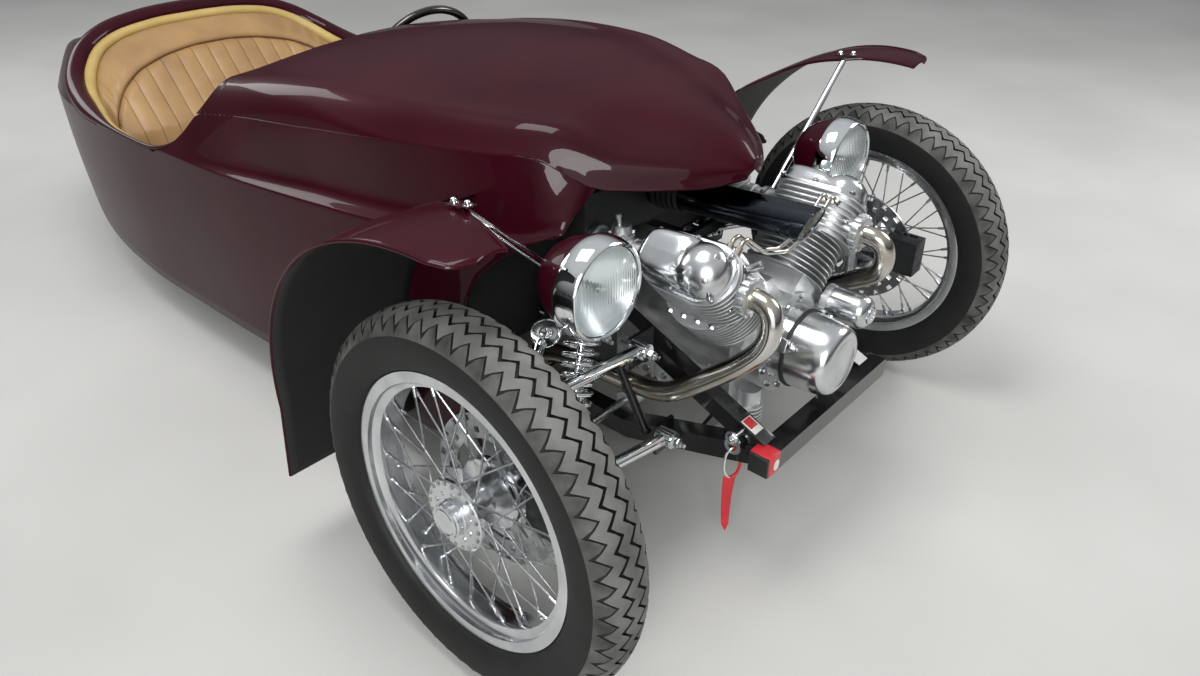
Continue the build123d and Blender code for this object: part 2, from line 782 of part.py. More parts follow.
BEHIND, CROWN, SEAM_HALF, SEAM_Z, BELT_HALF, BELT_Z, SKIRT_HALF, SKIRT_Z = range(8)
side_rows = [row for row in body_rows if row[SKIRT_Z] > 0]


def upper_edges(row, inset):
    """Seven points over the top of a section, from its right seam to its left seam."""
    half = row[SEAM_HALF] - inset
    rise = row[CROWN] - row[SEAM_Z]
    corner_half = half - min(corner_inset, 0.36 * half)
    corner_z = row[CROWN] - 0.34 * rise - inset
    edge_z = row[SEAM_Z]
    mid_half = (half + corner_half) / 2 + 0.2 * (corner_z - edge_z)
    mid_z = (edge_z + corner_z) / 2 + 0.2 * (half - corner_half)
    right = [(-half, edge_z), (-mid_half, mid_z), (-corner_half, corner_z)]
    left = [(-x, z) for x, z in reversed(right)]
    return [at(x, row[BEHIND], z) for x, z in right + [(0, row[CROWN] - inset)] + left]


def top_arcs(points):
    return [
        ThreePointArc(points[0], points[1], points[2]),
        ThreePointArc(points[2], points[3], points[4]),
        ThreePointArc(points[4], points[5], points[6]),
    ]


def lower_edges(row, side, inset):
    """Belt and skirt corners of a section at one side."""
    belt = at(side * (row[BELT_HALF] - inset), row[BEHIND], row[BELT_Z])
    skirt = at(side * (row[SKIRT_HALF] - inset), row[BEHIND], row[SKIRT_Z])
    return belt, skirt


def shell_section(row, with_sides):
    """Thin closed face of the upper shell at one station, with or without its sides."""
    outer = upper_edges(row, 0)
    inner = upper_edges(row, panel_wall)
    edges = top_arcs(outer) + top_arcs(inner)
    for side, end in ((-1, 0), (1, 6)):
        if with_sides:
            belt_out, skirt_out = lower_edges(row, side, 0)
            belt_in, skirt_in = lower_edges(row, side, panel_wall)
            edges += [Line(outer[end], belt_out), Line(belt_out, skirt_out), Line(skirt_out, skirt_in)]
            edges += [Line(skirt_in, belt_in), Line(belt_in, inner[end])]
        else:
            edges.append(Line(outer[end], inner[end]))
    return make_face(edges)


def side_section(row):
    """Section of the right side panel."""
    outer = [(row[SKIRT_HALF], row[SKIRT_Z]), (row[BELT_HALF], row[BELT_Z]), (row[SEAM_HALF], row[SEAM_Z])]
    inner = [(half - panel_wall, z) for half, z in reversed(outer)]
    return make_face(Polyline(*[at(-half, row[BEHIND], z) for half, z in outer + inner], close=True))


def space_section(row, inset):
    """Straight sided face that lies inside the panels by the inset, or outside when it is negative."""
    belt_right, skirt_right = lower_edges(row, -1, inset)
    belt_left, skirt_left = lower_edges(row, 1, inset)
    points = [skirt_right, belt_right] + upper_edges(row, inset) + [belt_left, skirt_left]
    return make_face(Polyline(*points, close=True))


# Side view of the cockpit opening, from the cowl down to the sill and up the back
cockpit_outline = [
    (cowl_behind - 30, 950.0),
    (cowl_behind - 12, 802.0),
    (cowl_behind + 22, 772.0),
    (cowl_behind + 62, 735.0),
    (cowl_behind + 112, 683.0),
    (cowl_behind + 185, 612.0),
    (cowl_behind + 252, 562.0),
    (cowl_behind + 335, 534.0),
    (tail_start, 532.0),
    (wheelbase - 330, 545.0),
    (wheelbase - 200, 585.0),
    (wheelbase - 120, 640.0),
    (wheelbase - 85, 690.0),
    (wheelbase - 70, 950.0),
]
cockpit = side_profile(cockpit_outline, 600.0)
coaming_points = [
    # from the middle, behind, height
    (-452.0, cowl_behind + 258, 566.0),
    (-472.0, cowl_behind + 342, 541.0),
    (-470.0, tail_start, 538.0),
    (-446.0, wheelbase - 330, 551.0),
    (-404.0, wheelbase - 200, 592.0),
    (-322.0, wheelbase - 120, 648.0),
    (-150.0, wheelbase - 86, 690.0),
]
coaming_route = [at(*point) for point in coaming_points]
coaming_route += [at(-x, behind, z) for x, behind, z in reversed(coaming_points)]


def bend_radii(points, most):
    """Arc radius at each inner point of a route, as large as its two runs allow."""
    radii = []
    for before, here, after in zip(points, points[1:], points[2:]):
        turn = math.radians((here - before).get_angle(after - here))
        shorter = min((here - before).length, (after - here).length)
        radii.append(min(most, 0.45 * shorter / math.tan(turn / 2)))
    return radii


def route_bar(points, radius, most):
    """Round bar along straight runs joined by tangent arcs."""
    path = FilletPolyline(*points, radius=bend_radii(points, most))
    return sweep(Plane(origin=path @ 0, z_dir=path % 0) * Circle(radius), path=path)


coaming_space = route_bar(coaming_route, coaming_radius + fit_gap, 900.0)
export(route_bar(coaming_route, coaming_radius, 900.0), "coaming_roll")

bonnet = loft([shell_section(row, False) for row in body_rows[:-1]], ruled=True)
nose_points = upper_edges(body_rows[0], 0)
nose_face = make_face(top_arcs(nose_points) + [Line(nose_points[6], nose_points[0])])
bonnet = bonnet + extrude(nose_face, nose_cap, dir=(0, -1, 0))
export(bonnet - cockpit, "bonnet")
print("bonnet done")

side_panel = loft([side_section(row) for row in side_rows], ruled=True)
arch_outline = [(0, 0), (305, 0), (305, 470), (268, 540), (190, 604), (118, 640), (0, 640)]
side_panel = side_panel - side_profile(arch_outline, 600.0) - cockpit - coaming_space
export(side_panel, "side_panel_right")
export(mirrored(side_panel), "side_panel_left")
print("sides done")

tail = loft([shell_section(row, True) for row in tail_rows], ruled=True)
end_top = upper_edges(tail_rows[-1], 0)
end_belt_right, end_skirt_right = lower_edges(tail_rows[-1], -1, 0)
end_belt_left, end_skirt_left = lower_edges(tail_rows[-1], 1, 0)
end_face = make_face(
    top_arcs(end_top)
    + [
        Line(end_top[6], end_belt_left),
        Line(end_belt_left, end_skirt_left),
        Line(end_skirt_left, end_skirt_right),
        Line(end_skirt_right, end_belt_right),
        Line(end_belt_right, end_top[0]),
    ]
)
tail = tail + extrude(end_face, panel_wall, dir=(0, -1, 0))
export(tail - cockpit - coaming_space, "tail_shell")
print("tail done")

# Floor, bulkhead and dashboard are cut to the space inside the panels.
inner_sections = [space_section(row, panel_wall + fit_gap) for row in side_rows[1:] + tail_rows[1:]]
inner_space = loft(inner_sections, ruled=True)
floor_low = rail_top + fit_gap
floor_high = floor_low + floor_thick
floor = block(at(-600, floor_front, floor_low), at(600, floor_rear, floor_high)) & inner_space
export(floor, "floor_pan")
toe_profile = [
    (bulkhead_behind, 900.0),
    (bulkhead_behind, toe_height),
    (floor_front - fit_gap, floor_low),
    (floor_front - fit_gap, floor_high),
    (bulkhead_behind + floor_thick, toe_height + 4.0),
    (bulkhead_behind + floor_thick, 900.0),
]
column_space = bar(column_foot, wheel_hub + column_dir * 40.0, column_radius + 6.0)
bulkhead = side_profile(toe_profile, 600.0) & inner_space
export(bulkhead - column_space, "bulkhead")
dash_block = block(at(-600, dash_behind, dash_low), at(600, dash_behind + dash_thick, 900.0))
export(dash_block & inner_space, "dashboard")
print("panels done")

# Seat: a cushion on the floor, a leaning back and padded side linings
seat_floor = floor_high + fit_gap
cushion = block(at(-seat_half, seat_front, seat_floor), at(seat_half, seat_rear, seat_floor + seat_height))
cushion = fillet(cushion.faces().sort_by(Axis.Z)[-1].edges(), seat_edge_radius)
export(cushion, "seat_cushion")
lining_rows = side_rows[1:] + tail_rows[1:3]
lining_inset = panel_wall + fit_gap + lining_thick
deep_space = loft([space_section(row, lining_inset) for row in lining_rows], ruled=True)
trim_space = loft([space_section(row, lining_inset + fit_gap) for row in lining_rows], ruled=True)
back_table = [
    # behind, thickness, half width, height
    (seat_rear + 2.0, 78.0, seat_half, seat_floor),
    (seat_rear + 62.0, 75.0, seat_half, 450.0),
    (seat_rear + 210.0, 62.0, seat_half, back_top),
]
back_sections = []
for behind, thick, half, z in back_table:
    front_corners = [at(-half, behind, z), at(half, behind, z)]
    rear_corners = [at(half, behind + thick, z), at(-half, behind + thick, z)]
    back_sections.append(make_face(Polyline(*front_corners, *rear_corners, close=True)))
seat_back = loft(back_sections, ruled=True) & trim_space
export(seat_back - coaming_space, "seat_back")

# The lining follows the sill on both sides, and a pad closes the horseshoe behind the seat back.
sill_line = [(behind, z - lining_drop) for behind, z in cockpit_outline[6:11]]
lining_profile = [(lining_front, lining_low), (lining_front, sill_line[0][1])] + sill_line
lining_profile.append((sill_line[-1][0], lining_low))
lining = (inner_space - deep_space) & side_profile(lining_profile, 600.0)
pad_front = back_table[-1][0]
pad_rear = pad_front + back_table[-1][1]
pad_profile = [
    (pad_front, back_top + fit_gap),
    (pad_rear, back_top + fit_gap),
    (hoop_top[0] - 17.0, hoop_top[1] + 24.0),
    (hoop_top[0] - 17.0, pad_top),
    (hoop_top[0] - 49.0, pad_top - 6.0),
]
pad = side_profile(pad_profile, 600.0) & inner_space
export(Compound([*(lining - coaming_space).solids(), pad - coaming_space]), "side_linings")
print("interior done")

# Engine: a lengthwise crankshaft with two cylinders set out at either side
case_parts = [
    bar(at(0, case_front, crank_height), at(0, case_step, crank_height), case_radius),
    bar(at(0, case_step, crank_height), at(0, case_rear, crank_height), bell_radius),
    bar(at(0, alternator_back, crank_height), at(0, case_front, crank_height), timing_radius),
]
sump = block(at(-80, -60, sump_low), at(80, 90, case_low + 2.0))
case_parts.append(sump - cross_bar(400.0, rack_behind, rod_height, rack_tube_radius + 6.0))
cylinder_planes = {}
for side, name in ((-1, "right"), (1, "left")):
    lean = math.radians(cylinder_angle)
    out = Vector(side * math.sin(lean), 0, math.cos(lean))
    centre = at(0, cylinder_behind - side * cylinder_stagger, crank_height)
    cylinder_planes[name] = Plane(origin=centre, x_dir=(0, 1, 0), z_dir=out)
    pad = Pos(6.0, 0, barrel_start / 2) * Box(148.0, 132.0, barrel_start)
    case_parts.append(cylinder_planes[name] * pad)
# A lobe ahead of the timing case carries the round side cover.
lobe_front = at(starter_x, starter_back, starter_z)
lobe = bar(lobe_front, lobe_front + Vector(0, 14.0, 0), starter_radius)
lobe_tie = block(at(62, starter_back, 396), at(starter_x, alternator_back + 1.5, starter_z + 2.0))
alternator_root = at(0, alternator_back, crank_height)
alternator_space = bar(at(0, alternator_front - 50.0, crank_height), alternator_root, alternator_radius + 1.5)
case_parts += [lobe + lobe_tie - alternator_space]
case_foot = block(at(-case_low_half, case_front, case_low), at(case_low_half, case_step, crank_height))
rib_step = (case_step - case_front - rib_thick) / (rib_count - 1)
for index in range(rib_count):
    fore = case_front + index * rib_step
    x_range = (case_low_half - 2.0, case_low_half + rib_height)
    for side in (-1, 1):
        case_parts.append(side_block(side, x_range, (fore, fore + rib_thick), (case_low, rib_top)))
for side in (-1, 1):
    x_range = (case_low_half - 2.0, case_low_half + rib_height)
    belt_low = (case_low + rib_top - rib_thick) / 2
    case_parts.append(side_block(side, x_range, (case_front, case_step), (belt_low, belt_low + rib_thick)))
filter_points = [(0, 0)]
filter_core = filter_radius - filter_fin_depth
filter_points += comb(filter_core, filter_radius, 0, filter_pitch, fin_thick, filter_fin_count)[1:]
filter_points += [(filter_core, filter_length), (0, filter_length)]
filter_foot = at(-filter_x, case_front - filter_lead, case_low + 40.0 - filter_length)
case_parts.append(Pos(filter_foot) * ring(filter_points))
crankcase = case_foot.fuse(*case_parts)
export(crankcase, "crankcase")

# Finned barrel with its head, and stubs for the exhaust ahead and the inlet behind
fin_pitch = (barrel_end - barrel_start - fin_thick) / (fin_count - 1)
barrel_foot = barrel_start + fit_gap
barrel_points = [(0, barrel_foot)]
barrel_points += comb(barrel_core_radius, fin_radius, barrel_foot, fin_pitch, fin_thick, fin_count)[1:]
barrel_points += [(barrel_core_radius, barrel_end + 2.0), (0, barrel_end + 2.0)]
head_mid = (barrel_end + head_end) / 2
cylinder = ring(barrel_points)
core_length = 2 * (head_half_length - head_fin_depth)
core_width = 2 * (head_half_width - head_fin_depth)
head_core = Box(core_length, core_width, head_end - barrel_end)
cylinder = cylinder + Pos(0, 0, head_mid) * head_core
head_pitch = (head_end - barrel_end - fin_thick) / (head_fin_count - 1)
for index in range(head_fin_count):
    fin_middle = barrel_end + index * head_pitch + fin_thick / 2
    cylinder = cylinder + Pos(0, 0, fin_middle) * Box(2 * head_half_length, 2 * head_half_width, fin_thick)
exhaust_plane = Plane(origin=(-exhaust_stub_end, 0, port_along), z_dir=(1, 0, 0))
inlet_plane = Plane(origin=(0, 0, inlet_along), z_dir=(1, 0, 0))
cylinder = cylinder + extrude(exhaust_plane * Circle(port_radius), exhaust_stub_end)
cylinder = cylinder + extrude(inlet_plane * Circle(port_radius), inlet_stub_end)
cover = Pos(0, 0, (head_end + cover_end) / 2 + fit_gap / 2) * Box(
    2 * cover_half_length, 2 * cover_half_width, cover_end - head_end - fit_gap
)
cover = fillet(cover.edges().filter_by(Axis.Z), 26.0)
cover = fillet(cover.faces().sort_by(Axis.Z)[-1].edges(), 16.0)
dome_space = Pos(0, 0, cover_end) * Box(400, 400, 2 * (cover_end - head_end - cover_dome_foot))
for along in (-cover_dome_offset, cover_dome_offset):
    dome = Pos(along, 0, cover_end + cover_dome_rise - cover_dome_radius) * Sphere(cover_dome_radius)
    cover = cover + (dome & dome_space)
export(Compound([plane * cylinder for plane in cylinder_planes.values()]), "cylinders")
export(Compound([plane * cover for plane in cylinder_planes.values()]), "valve_covers")
print("cylinders done")

alternator_length = alternator_back - fit_gap - alternator_front
alternator_middle = Plane(origin=at(0, alternator_front + alternator_length / 2, crank_height), z_dir=(0, -1, 0))
alternator = alternator_middle * Cone(alternator_radius, alternator_end_radius, alternator_length)
alternator = fillet(alternator.faces().sort_by(Axis.Y)[0].edges(), alternator_fillet)
starter_foot = at(starter_x, starter_back - fit_gap, starter_z)
starter = bar(at(starter_x, starter_front, starter_z), starter_foot, starter_radius)
starter = fillet(starter.faces().sort_by(Axis.Y)[0].edges(), 8.0)
export(Compound([alternator, starter]), "end_covers")

# Carburettors behind the heads, an air box above the bell housing and its front tube
carburettors = []
for plane in cylinder_planes.values():
    start = (plane * Pos(inlet_stub_end + fit_gap, 0, inlet_along)).position
    end = Vector(start.X, front_axle_y + air_box_behind - fit_gap, start.Z)
    middle = (start + end) * 0.5
    bowl = bar(middle - Vector(0, 0, 52), middle + Vector(0, 0, 46), carburettor_bowl_radius)
    carburettors.append(bar(start, end, carburettor_radius) + bowl)
export(Compound(carburettors), "carburettors")
air_low = at(-air_box_half, air_box_behind, air_box_low)
air_high = at(air_box_half, air_box_rear, air_box_high)
air_box = block(air_low, air_high)
gap = Vector(fit_gap, fit_gap, fit_gap)
intake = bar(at(0, air_box_behind + 20.0, 617), at(0, intake_front, 642), intake_radius)
intake = intake - block(air_low - gap, air_high + gap)
slant = Plane(origin=at(0, intake_front + 14.0, 642), z_dir=(0, -1, -0.45))
intake = intake - slant * (Pos(0, 0, 50) * Box(200, 200, 100))
export(intake, "intake_tube")
export(fillet(air_box.edges().filter_by(Axis.Y), 14.0), "air_box")

# Two thin hoses side by side run from head to head below the intake tube.
right_head = cylinder_planes["right"]
hose_out = (right_head * Pos(0, -head_half_width - fit_gap, hose_along)).position
hose_normal = right_head.y_dir * -1
hoses = []
for shift in (-hose_spread, hose_spread):
    first = hose_out + Vector(0, hose_shift + shift, 0)
    second = first + hose_normal * hose_rise
    third = Vector(-hose_dip_half, second.Y, hose_dip_height + hose_rise / 2)
    fourth = Vector(0, front_axle_y + cylinder_behind + hose_shift + shift, hose_dip_height)
    half_route = [first, second, third]
    other_half = [Vector(-p.X, p.Y - 2 * cylinder_stagger, p.Z) for p in reversed(half_route)]
    route = half_route + [fourth] + other_half
    hoses.append(route_bar(route, hose_radius, 40.0))
    for start, way in ((route[0], route[1] - route[0]), (route[-1], route[-2] - route[-1])):
        hoses[-1] = hoses[-1] + bar(start, start + way.normalized() * hose_ferrule_length, hose_radius + 2.5)
export(Compound(hoses), "oil_hoses")
print("engine done")

# Exhausts, each from its port forward, down and back past the high rail
exhaust_table = [
    # cylinder, side, corners of the bends as (distance from the middle, behind, height)
    ("right", -1, [(188, -228, 484), (221, -45, 334), (222, 270, 310)]),
    ("left", 1, [(192, -244, 486), (228, -80, 388), (222, 150, 322), (222, 270, 310)]),
]
exhausts = []
for name, side, corners in exhaust_table:
    start = (cylinder_planes[name] * Pos(-exhaust_stub_end - fit_gap, 0, port_along)).position
    route = [start, Vector(start.X, start.Y - exhaust_reach, start.Z)]
    route += [at(side * x, behind, z) for x, behind, z in corners]
    route += [
        at(side * 250, silencer_front - 75.0, silencer_height + 10.0),
        at(side * silencer_x, silencer_front + 5.0, silencer_height),
    ]
    pipe_run = route_bar(route, pipe_radius, 90.0)
    nut_plane = Plane(origin=start, z_dir=(0, -1, 0))
    nut = nut_plane * extrude(Circle(nut_radius), nut_length)
    for index in range(nut_teeth):
        tooth = Pos(nut_radius, 0, nut_length / 2) * Box(2 * nut_tooth_height, nut_tooth_width, nut_length)
        nut = nut + nut_plane * (Rot(0, 0, index * 360 / nut_teeth) * tooth)
    silencer_start = at(side * silencer_x, silencer_front, silencer_height)
    silencer_end = silencer_start + Vector(0, silencer_length, 0)
    silencer = bar(silencer_start, silencer_end, silencer_radius)
    tail_pipe = bar(silencer_end, silencer_end + Vector(0, tail_pipe_length, 0), pipe_radius)
    exhausts.append(pipe_run.fuse(nut, silencer, tail_pipe))
export(Compound(exhausts), "exhausts")
print("exhausts done")

# Headlamps
lamp_frame = Plane(origin=at(-lamp_x, lamp_front, lamp_height), x_dir=(1, 0, 0), z_dir=(0, 1, 0))


def bowl_arc(radius, high):
    """Side of the round lamp bowl, from its open rim to its small flat back."""
    shoulder = Vector(radius * 0.8, 0, lamp_rim_depth + (high - lamp_rim_depth) * 0.62)
    return ThreePointArc(Vector(radius, 0, lamp_rim_depth), shoulder, Vector(lamp_back_radius, 0, high))


bowl_inner = lamp_radius - lamp_sheet
inner_depth = lamp_depth - lamp_sheet
bowl_outline = [
    Line(Vector(bowl_inner, 0, lamp_rim_depth), Vector(lamp_radius, 0, lamp_rim_depth)),
    bowl_arc(lamp_radius, lamp_depth),
    Line(Vector(lamp_back_radius, 0, lamp_depth), Vector(0, 0, lamp_depth)),
    Line(Vector(0, 0, lamp_depth), Vector(0, 0, inner_depth)),
    Line(Vector(0, 0, inner_depth), Vector(lamp_back_radius, 0, inner_depth)),
    bowl_arc(bowl_inner, inner_depth),
]
bowl = revolve(make_face(bowl_outline), axis=Axis.Z)
bezel = ring(
    [
        (lens_radius + fit_gap, -4.0),
        (lamp_radius + 1.0, -4.0),
        (lamp_radius + 5.0, 8.0),
        (lamp_radius + 3.0, lamp_rim_depth - fit_gap),
        (lens_radius + fit_gap, lamp_rim_depth - fit_gap),
    ]
)
lens_sphere = (lens_radius**2 + lens_bulge**2) / (2 * lens_bulge)
lens_front = -2.0 - lens_bulge
lens = Pos(0, 0, lens_front) * extrude(Circle(lens_radius), lens_bulge + lens_thick)
lens = lens & (Pos(0, 0, lens_front + lens_sphere) * Sphere(lens_sphere))
export(both_sides(lamp_frame * bowl), "headlamp_bowls")
export(both_sides(lamp_frame * bezel), "headlamp_bezels")
export(both_sides(lamp_frame * lens), "headlamp_lenses")

# Stays from the spring turrets to the headlamps and on to the mudguards
stay_behind = lamp_front + lamp_depth + fit_gap + stay_radius
guard_inner = guard_radius - guard_thick
knee = at(-lamp_x, stay_behind, lamp_height)


def guard_stations(radius):
    """Tip, fullest place and rear of the mudguard's arch: distances behind and above the axle."""
    slope = math.radians(guard_bulge_slope)
    full = radius + guard_bulge
    return (guard_tip, math.sqrt(radius**2 - guard_tip**2)), (full * math.sin(slope), full * math.cos(slope)), (radius, 0.0)


def guard_circle(radius):
    """Centre and radius of the circle through the arch's three places, seen from the side."""
    (y1, z1), (y2, z2), (y3, z3) = guard_stations(radius)
    twice = 2 * (y1 * (z2 - z3) + y2 * (z3 - z1) + y3 * (z1 - z2))
    s1, s2, s3 = y1**2 + z1**2, y2**2 + z2**2, y3**2 + z3**2
    centre_y = (s1 * (z2 - z3) + s2 * (z3 - z1) + s3 * (z1 - z2)) / twice
    centre_z = (s1 * (y3 - y2) + s2 * (y1 - y3) + s3 * (y2 - y1)) / twice
    return centre_y, axle_height + centre_z, math.hypot(y1 - centre_y, z1 - centre_z)


arch_behind, arch_height, arch_radius = guard_circle(guard_inner)
stay_top = at(
    -stay_top_x, stay_behind, arch_height + math.sqrt(arch_radius**2 - (stay_behind - arch_behind) ** 2)
)
# The lower stay starts on the turret arm, straight below the lamp's back plane.
stay_share = (turret_root.Y - knee.Y) / (turret_root.Y - turret_end.Y)
stay_start = turret_root + (turret_end - turret_root) * stay_share
stay = bar(stay_start, knee, stay_radius) + bar(knee, stay_top, stay_radius) + Pos(knee) * Sphere(stay_radius)
guard_space = bar(at(-800, arch_behind, arch_height), at(0, arch_behind, arch_height), arch_radius - fit_gap)
turret_grown = turret_frame * Box(*[size + 2 * fit_gap for size in turret_plate])
arm_grown = square_bar(turret_root, turret_end, turret_size + 2 * fit_gap, up)
stay = (stay & guard_space) - turret_grown - arm_grown
export(both_sides(stay), "front_stays")

# Mudguards: an arch about the wheel, a straight apron behind it, cut to a blade in plan


def guard_edge(radius):
    """Arch edge from the front tip to the apron's foot."""
    start, middle, rear = (at(0, behind, axle_height + above) for behind, above in guard_stations(radius))
    return start, middle, rear, at(0, radius + guard_lean, guard_low)


outer_points = guard_edge(guard_radius)
inner_points = guard_edge(guard_inner)
guard_face = make_face(
    [
        ThreePointArc(outer_points[0], outer_points[1], outer_points[2]),
        Line(outer_points[2], outer_points[3]),
        Line(outer_points[3], inner_points[3]),
        Line(inner_points[3], inner_points[2]),
        ThreePointArc(inner_points[2], inner_points[1], inner_points[0]),
        Line(inner_points[0], outer_points[0]),
    ]
)
guard_sheet = extrude(guard_face, -720.0, dir=(1, 0, 0))
blade_plan = [
    (-600, -64), (-655, -58), (-685, -42), (-698, -15), (-704, 60), (-712, 200), (-712, 520), (-300, 520),
    (-300, 275), (-440, 262), (-535, 235), (-542, 180), (-542, 88), (-567, 50),
]
blade_outline = Polyline(*[at(x, behind, 100) for x, behind in blade_plan], close=True)
blade = extrude(make_face(blade_outline), 800.0, dir=(0, 0, 1))
guard_rows = [row for row in side_rows if row[BEHIND] < 800]
body_space = loft([space_section(row, -fit_gap) for row in guard_rows], ruled=True)
low_rows = [row[:SKIRT_Z] + (60.0,) for row in guard_rows[1:]]
body_space = body_space + loft([space_section(row, -fit_gap) for row in low_rows], ruled=True)
mudguard = (guard_sheet & blade) - body_space
export(mudguard, "mudguard_right")
export(mirrored(mudguard), "mudguard_left")

# Towing eye bolted to the outer face of the right rail
eye_face = -rail_x - upper_tube_size / 2 - fit_gap
eye_bolt = bar(at(eye_face, -186, 300), at(eye_face - 20.0, -186, 300), eye_bolt_radius)
eye_centre = at(eye_face - 12.0, -186, 300 - eye_outer_radius - 2.0)
eye_ring = ring(
    [
        (eye_bore_radius, -eye_thick / 2),
        (eye_outer_radius, -eye_thick / 2),
        (eye_outer_radius, eye_thick / 2),
        (eye_bore_radius, eye_thick / 2),
    ]
)
eye_ring = Plane(origin=eye_centre, z_dir=(1, 0, 0)) * eye_ring
export(eye_bolt + eye_ring, "tow_eye")
print("all done")
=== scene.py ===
import bpy
import bmesh
import math
from mathutils import Matrix, Vector


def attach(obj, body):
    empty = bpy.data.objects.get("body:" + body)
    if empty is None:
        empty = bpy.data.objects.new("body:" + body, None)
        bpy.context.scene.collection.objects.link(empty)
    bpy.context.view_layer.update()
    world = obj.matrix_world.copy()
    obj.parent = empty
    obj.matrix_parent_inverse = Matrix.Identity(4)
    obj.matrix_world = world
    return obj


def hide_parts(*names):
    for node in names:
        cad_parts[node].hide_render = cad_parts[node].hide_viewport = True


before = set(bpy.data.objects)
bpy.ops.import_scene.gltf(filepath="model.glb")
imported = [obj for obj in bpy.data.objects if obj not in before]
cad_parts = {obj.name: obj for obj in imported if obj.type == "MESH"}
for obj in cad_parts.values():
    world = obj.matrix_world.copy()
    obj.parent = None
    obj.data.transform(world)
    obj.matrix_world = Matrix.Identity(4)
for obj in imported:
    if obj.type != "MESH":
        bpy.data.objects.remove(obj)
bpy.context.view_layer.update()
frontAxleY = -1.16875  # metres, where the front axle lies in the part's frame


def at(x, behind, z):  # millimetres from the front axle and the ground, to metres in the frame
    return Vector((x / 1000, frontAxleY + behind / 1000, z / 1000))


# camera and light
cameraSetup = {"place": (-1.297, -2.01375, 1.283), "tilt": 58.3, "turn": -48.2, "lens": 26.7}
cameraData = bpy.data.cameras.new("camera")
cameraData.lens = cameraSetup["lens"]
camera = bpy.data.objects.new("camera", cameraData)
camera.location = cameraSetup["place"]
camera.rotation_euler = (math.radians(cameraSetup["tilt"]), 0, math.radians(cameraSetup["turn"]))
bpy.context.scene.collection.objects.link(camera)
bpy.context.scene.camera = camera
bpy.context.scene.view_settings.view_transform = "Standard"


def hexToLinear(text):
    values = [int(text[i:i + 2], 16) / 255 for i in (1, 3, 5)]
    return [v / 12.92 if v <= 0.04045 else ((v + 0.055) / 1.055) ** 2.4 for v in values] + [1.0]


def addNode(tree, kind, settings=None, links=None):
    made = tree.nodes.new(kind)
    for key, value in (settings or {}).items():
        if isinstance(key, int) or key in made.inputs:
            made.inputs[key].default_value = value
        else:
            setattr(made, key, value)
    for key, source in (links or {}).items():
        tree.links.new(source, made.inputs[key])
    return made


lightSetup = {  # name: place, size, watts, aim
    "keyLight": ((-3.6, -3.6, 2.9), 1.8, 150, (-0.2, -1.0, 0.4)),
    "ceilingStrip": ((-0.6, -0.6, 3.4), 1.4, 60, (0, -0.4, 0.5)),
    "sideLight": ((3.4, -2.6, 2.6), 1.6, 70, (0.1, -0.9, 0.4)),
    "backLight": ((-1.2, 3.6, 2.6), 1.8, 60, (0, 0.4, 0.5)),
    "fillLight": ((-2.9, -3.7, 1.5), 2.4, 25, (0, -0.9, 0.4)),
}
for lightName, (place, size, watts, aim) in lightSetup.items():
    lamp = bpy.data.lights.new(lightName, "AREA")
    lamp.size = size
    lamp.energy = watts
    lampObject = bpy.data.objects.new(lightName, lamp)
    lampObject.location = place
    lampObject.rotation_euler = (Vector(aim) - Vector(place)).to_track_quat("-Z", "Y").to_euler()
    bpy.context.scene.collection.objects.link(lampObject)
world = bpy.data.worlds.new("studio")
bpy.context.scene.world = world
world.use_nodes = True
world.node_tree.nodes.clear()
skyCoords = addNode(world.node_tree, "ShaderNodeTexCoord")
skySplit = addNode(world.node_tree, "ShaderNodeSeparateXYZ", {}, {"Vector": skyCoords.outputs["Generated"]})
skyRamp = addNode(world.node_tree, "ShaderNodeValToRGB", {}, {"Fac": skySplit.outputs["Z"]})
skyRamp.color_ramp.elements[0].position = 0.02
skyRamp.color_ramp.elements[0].color = hexToLinear("#3c3c3d")
skyRamp.color_ramp.elements[1].position = 0.75
skyRamp.color_ramp.elements[1].color = hexToLinear("#dfe2e4")
skyLight = addNode(
    world.node_tree, "ShaderNodeBackground", {"Strength": 0.75}, {"Color": skyRamp.outputs["Color"]}
)
skyWall = addNode(world.node_tree, "ShaderNodeBackground", {"Color": hexToLinear("#b9b8b5"), "Strength": 1.0})
skyPath = addNode(world.node_tree, "ShaderNodeLightPath")
skyMix = addNode(
    world.node_tree, "ShaderNodeMixShader", {},
    {0: skyPath.outputs["Is Camera Ray"], 1: skyLight.outputs["Background"], 2: skyWall.outputs["Background"]},
)
addNode(world.node_tree, "ShaderNodeOutputWorld", {}, {"Surface": skyMix.outputs["Shader"]})
print("camera and light done")


# materials
def startMaterial(name, settings):
    material = bpy.data.materials.new(name)
    material.use_nodes = True
    tree = material.node_tree
    tree.nodes.clear()
    shader = addNode(tree, "ShaderNodeBsdfPrincipled", settings)
    addNode(tree, "ShaderNodeOutputMaterial", {}, {"Surface": shader.outputs["BSDF"]})
    coords = addNode(tree, "ShaderNodeTexCoord")
    return material, tree, shader, coords.outputs["Object"]


def rampBetween(tree, source, low, high, start=0.35, end=0.65):
    ramp = addNode(tree, "ShaderNodeValToRGB", {}, {"Fac": source})
    ramp.color_ramp.elements[0].position = start
    ramp.color_ramp.elements[0].color = low
    ramp.color_ramp.elements[1].position = end
    ramp.color_ramp.elements[1].color = high
    return ramp.outputs["Color"]


def grey(value):
    return (value, value, value, 1.0)


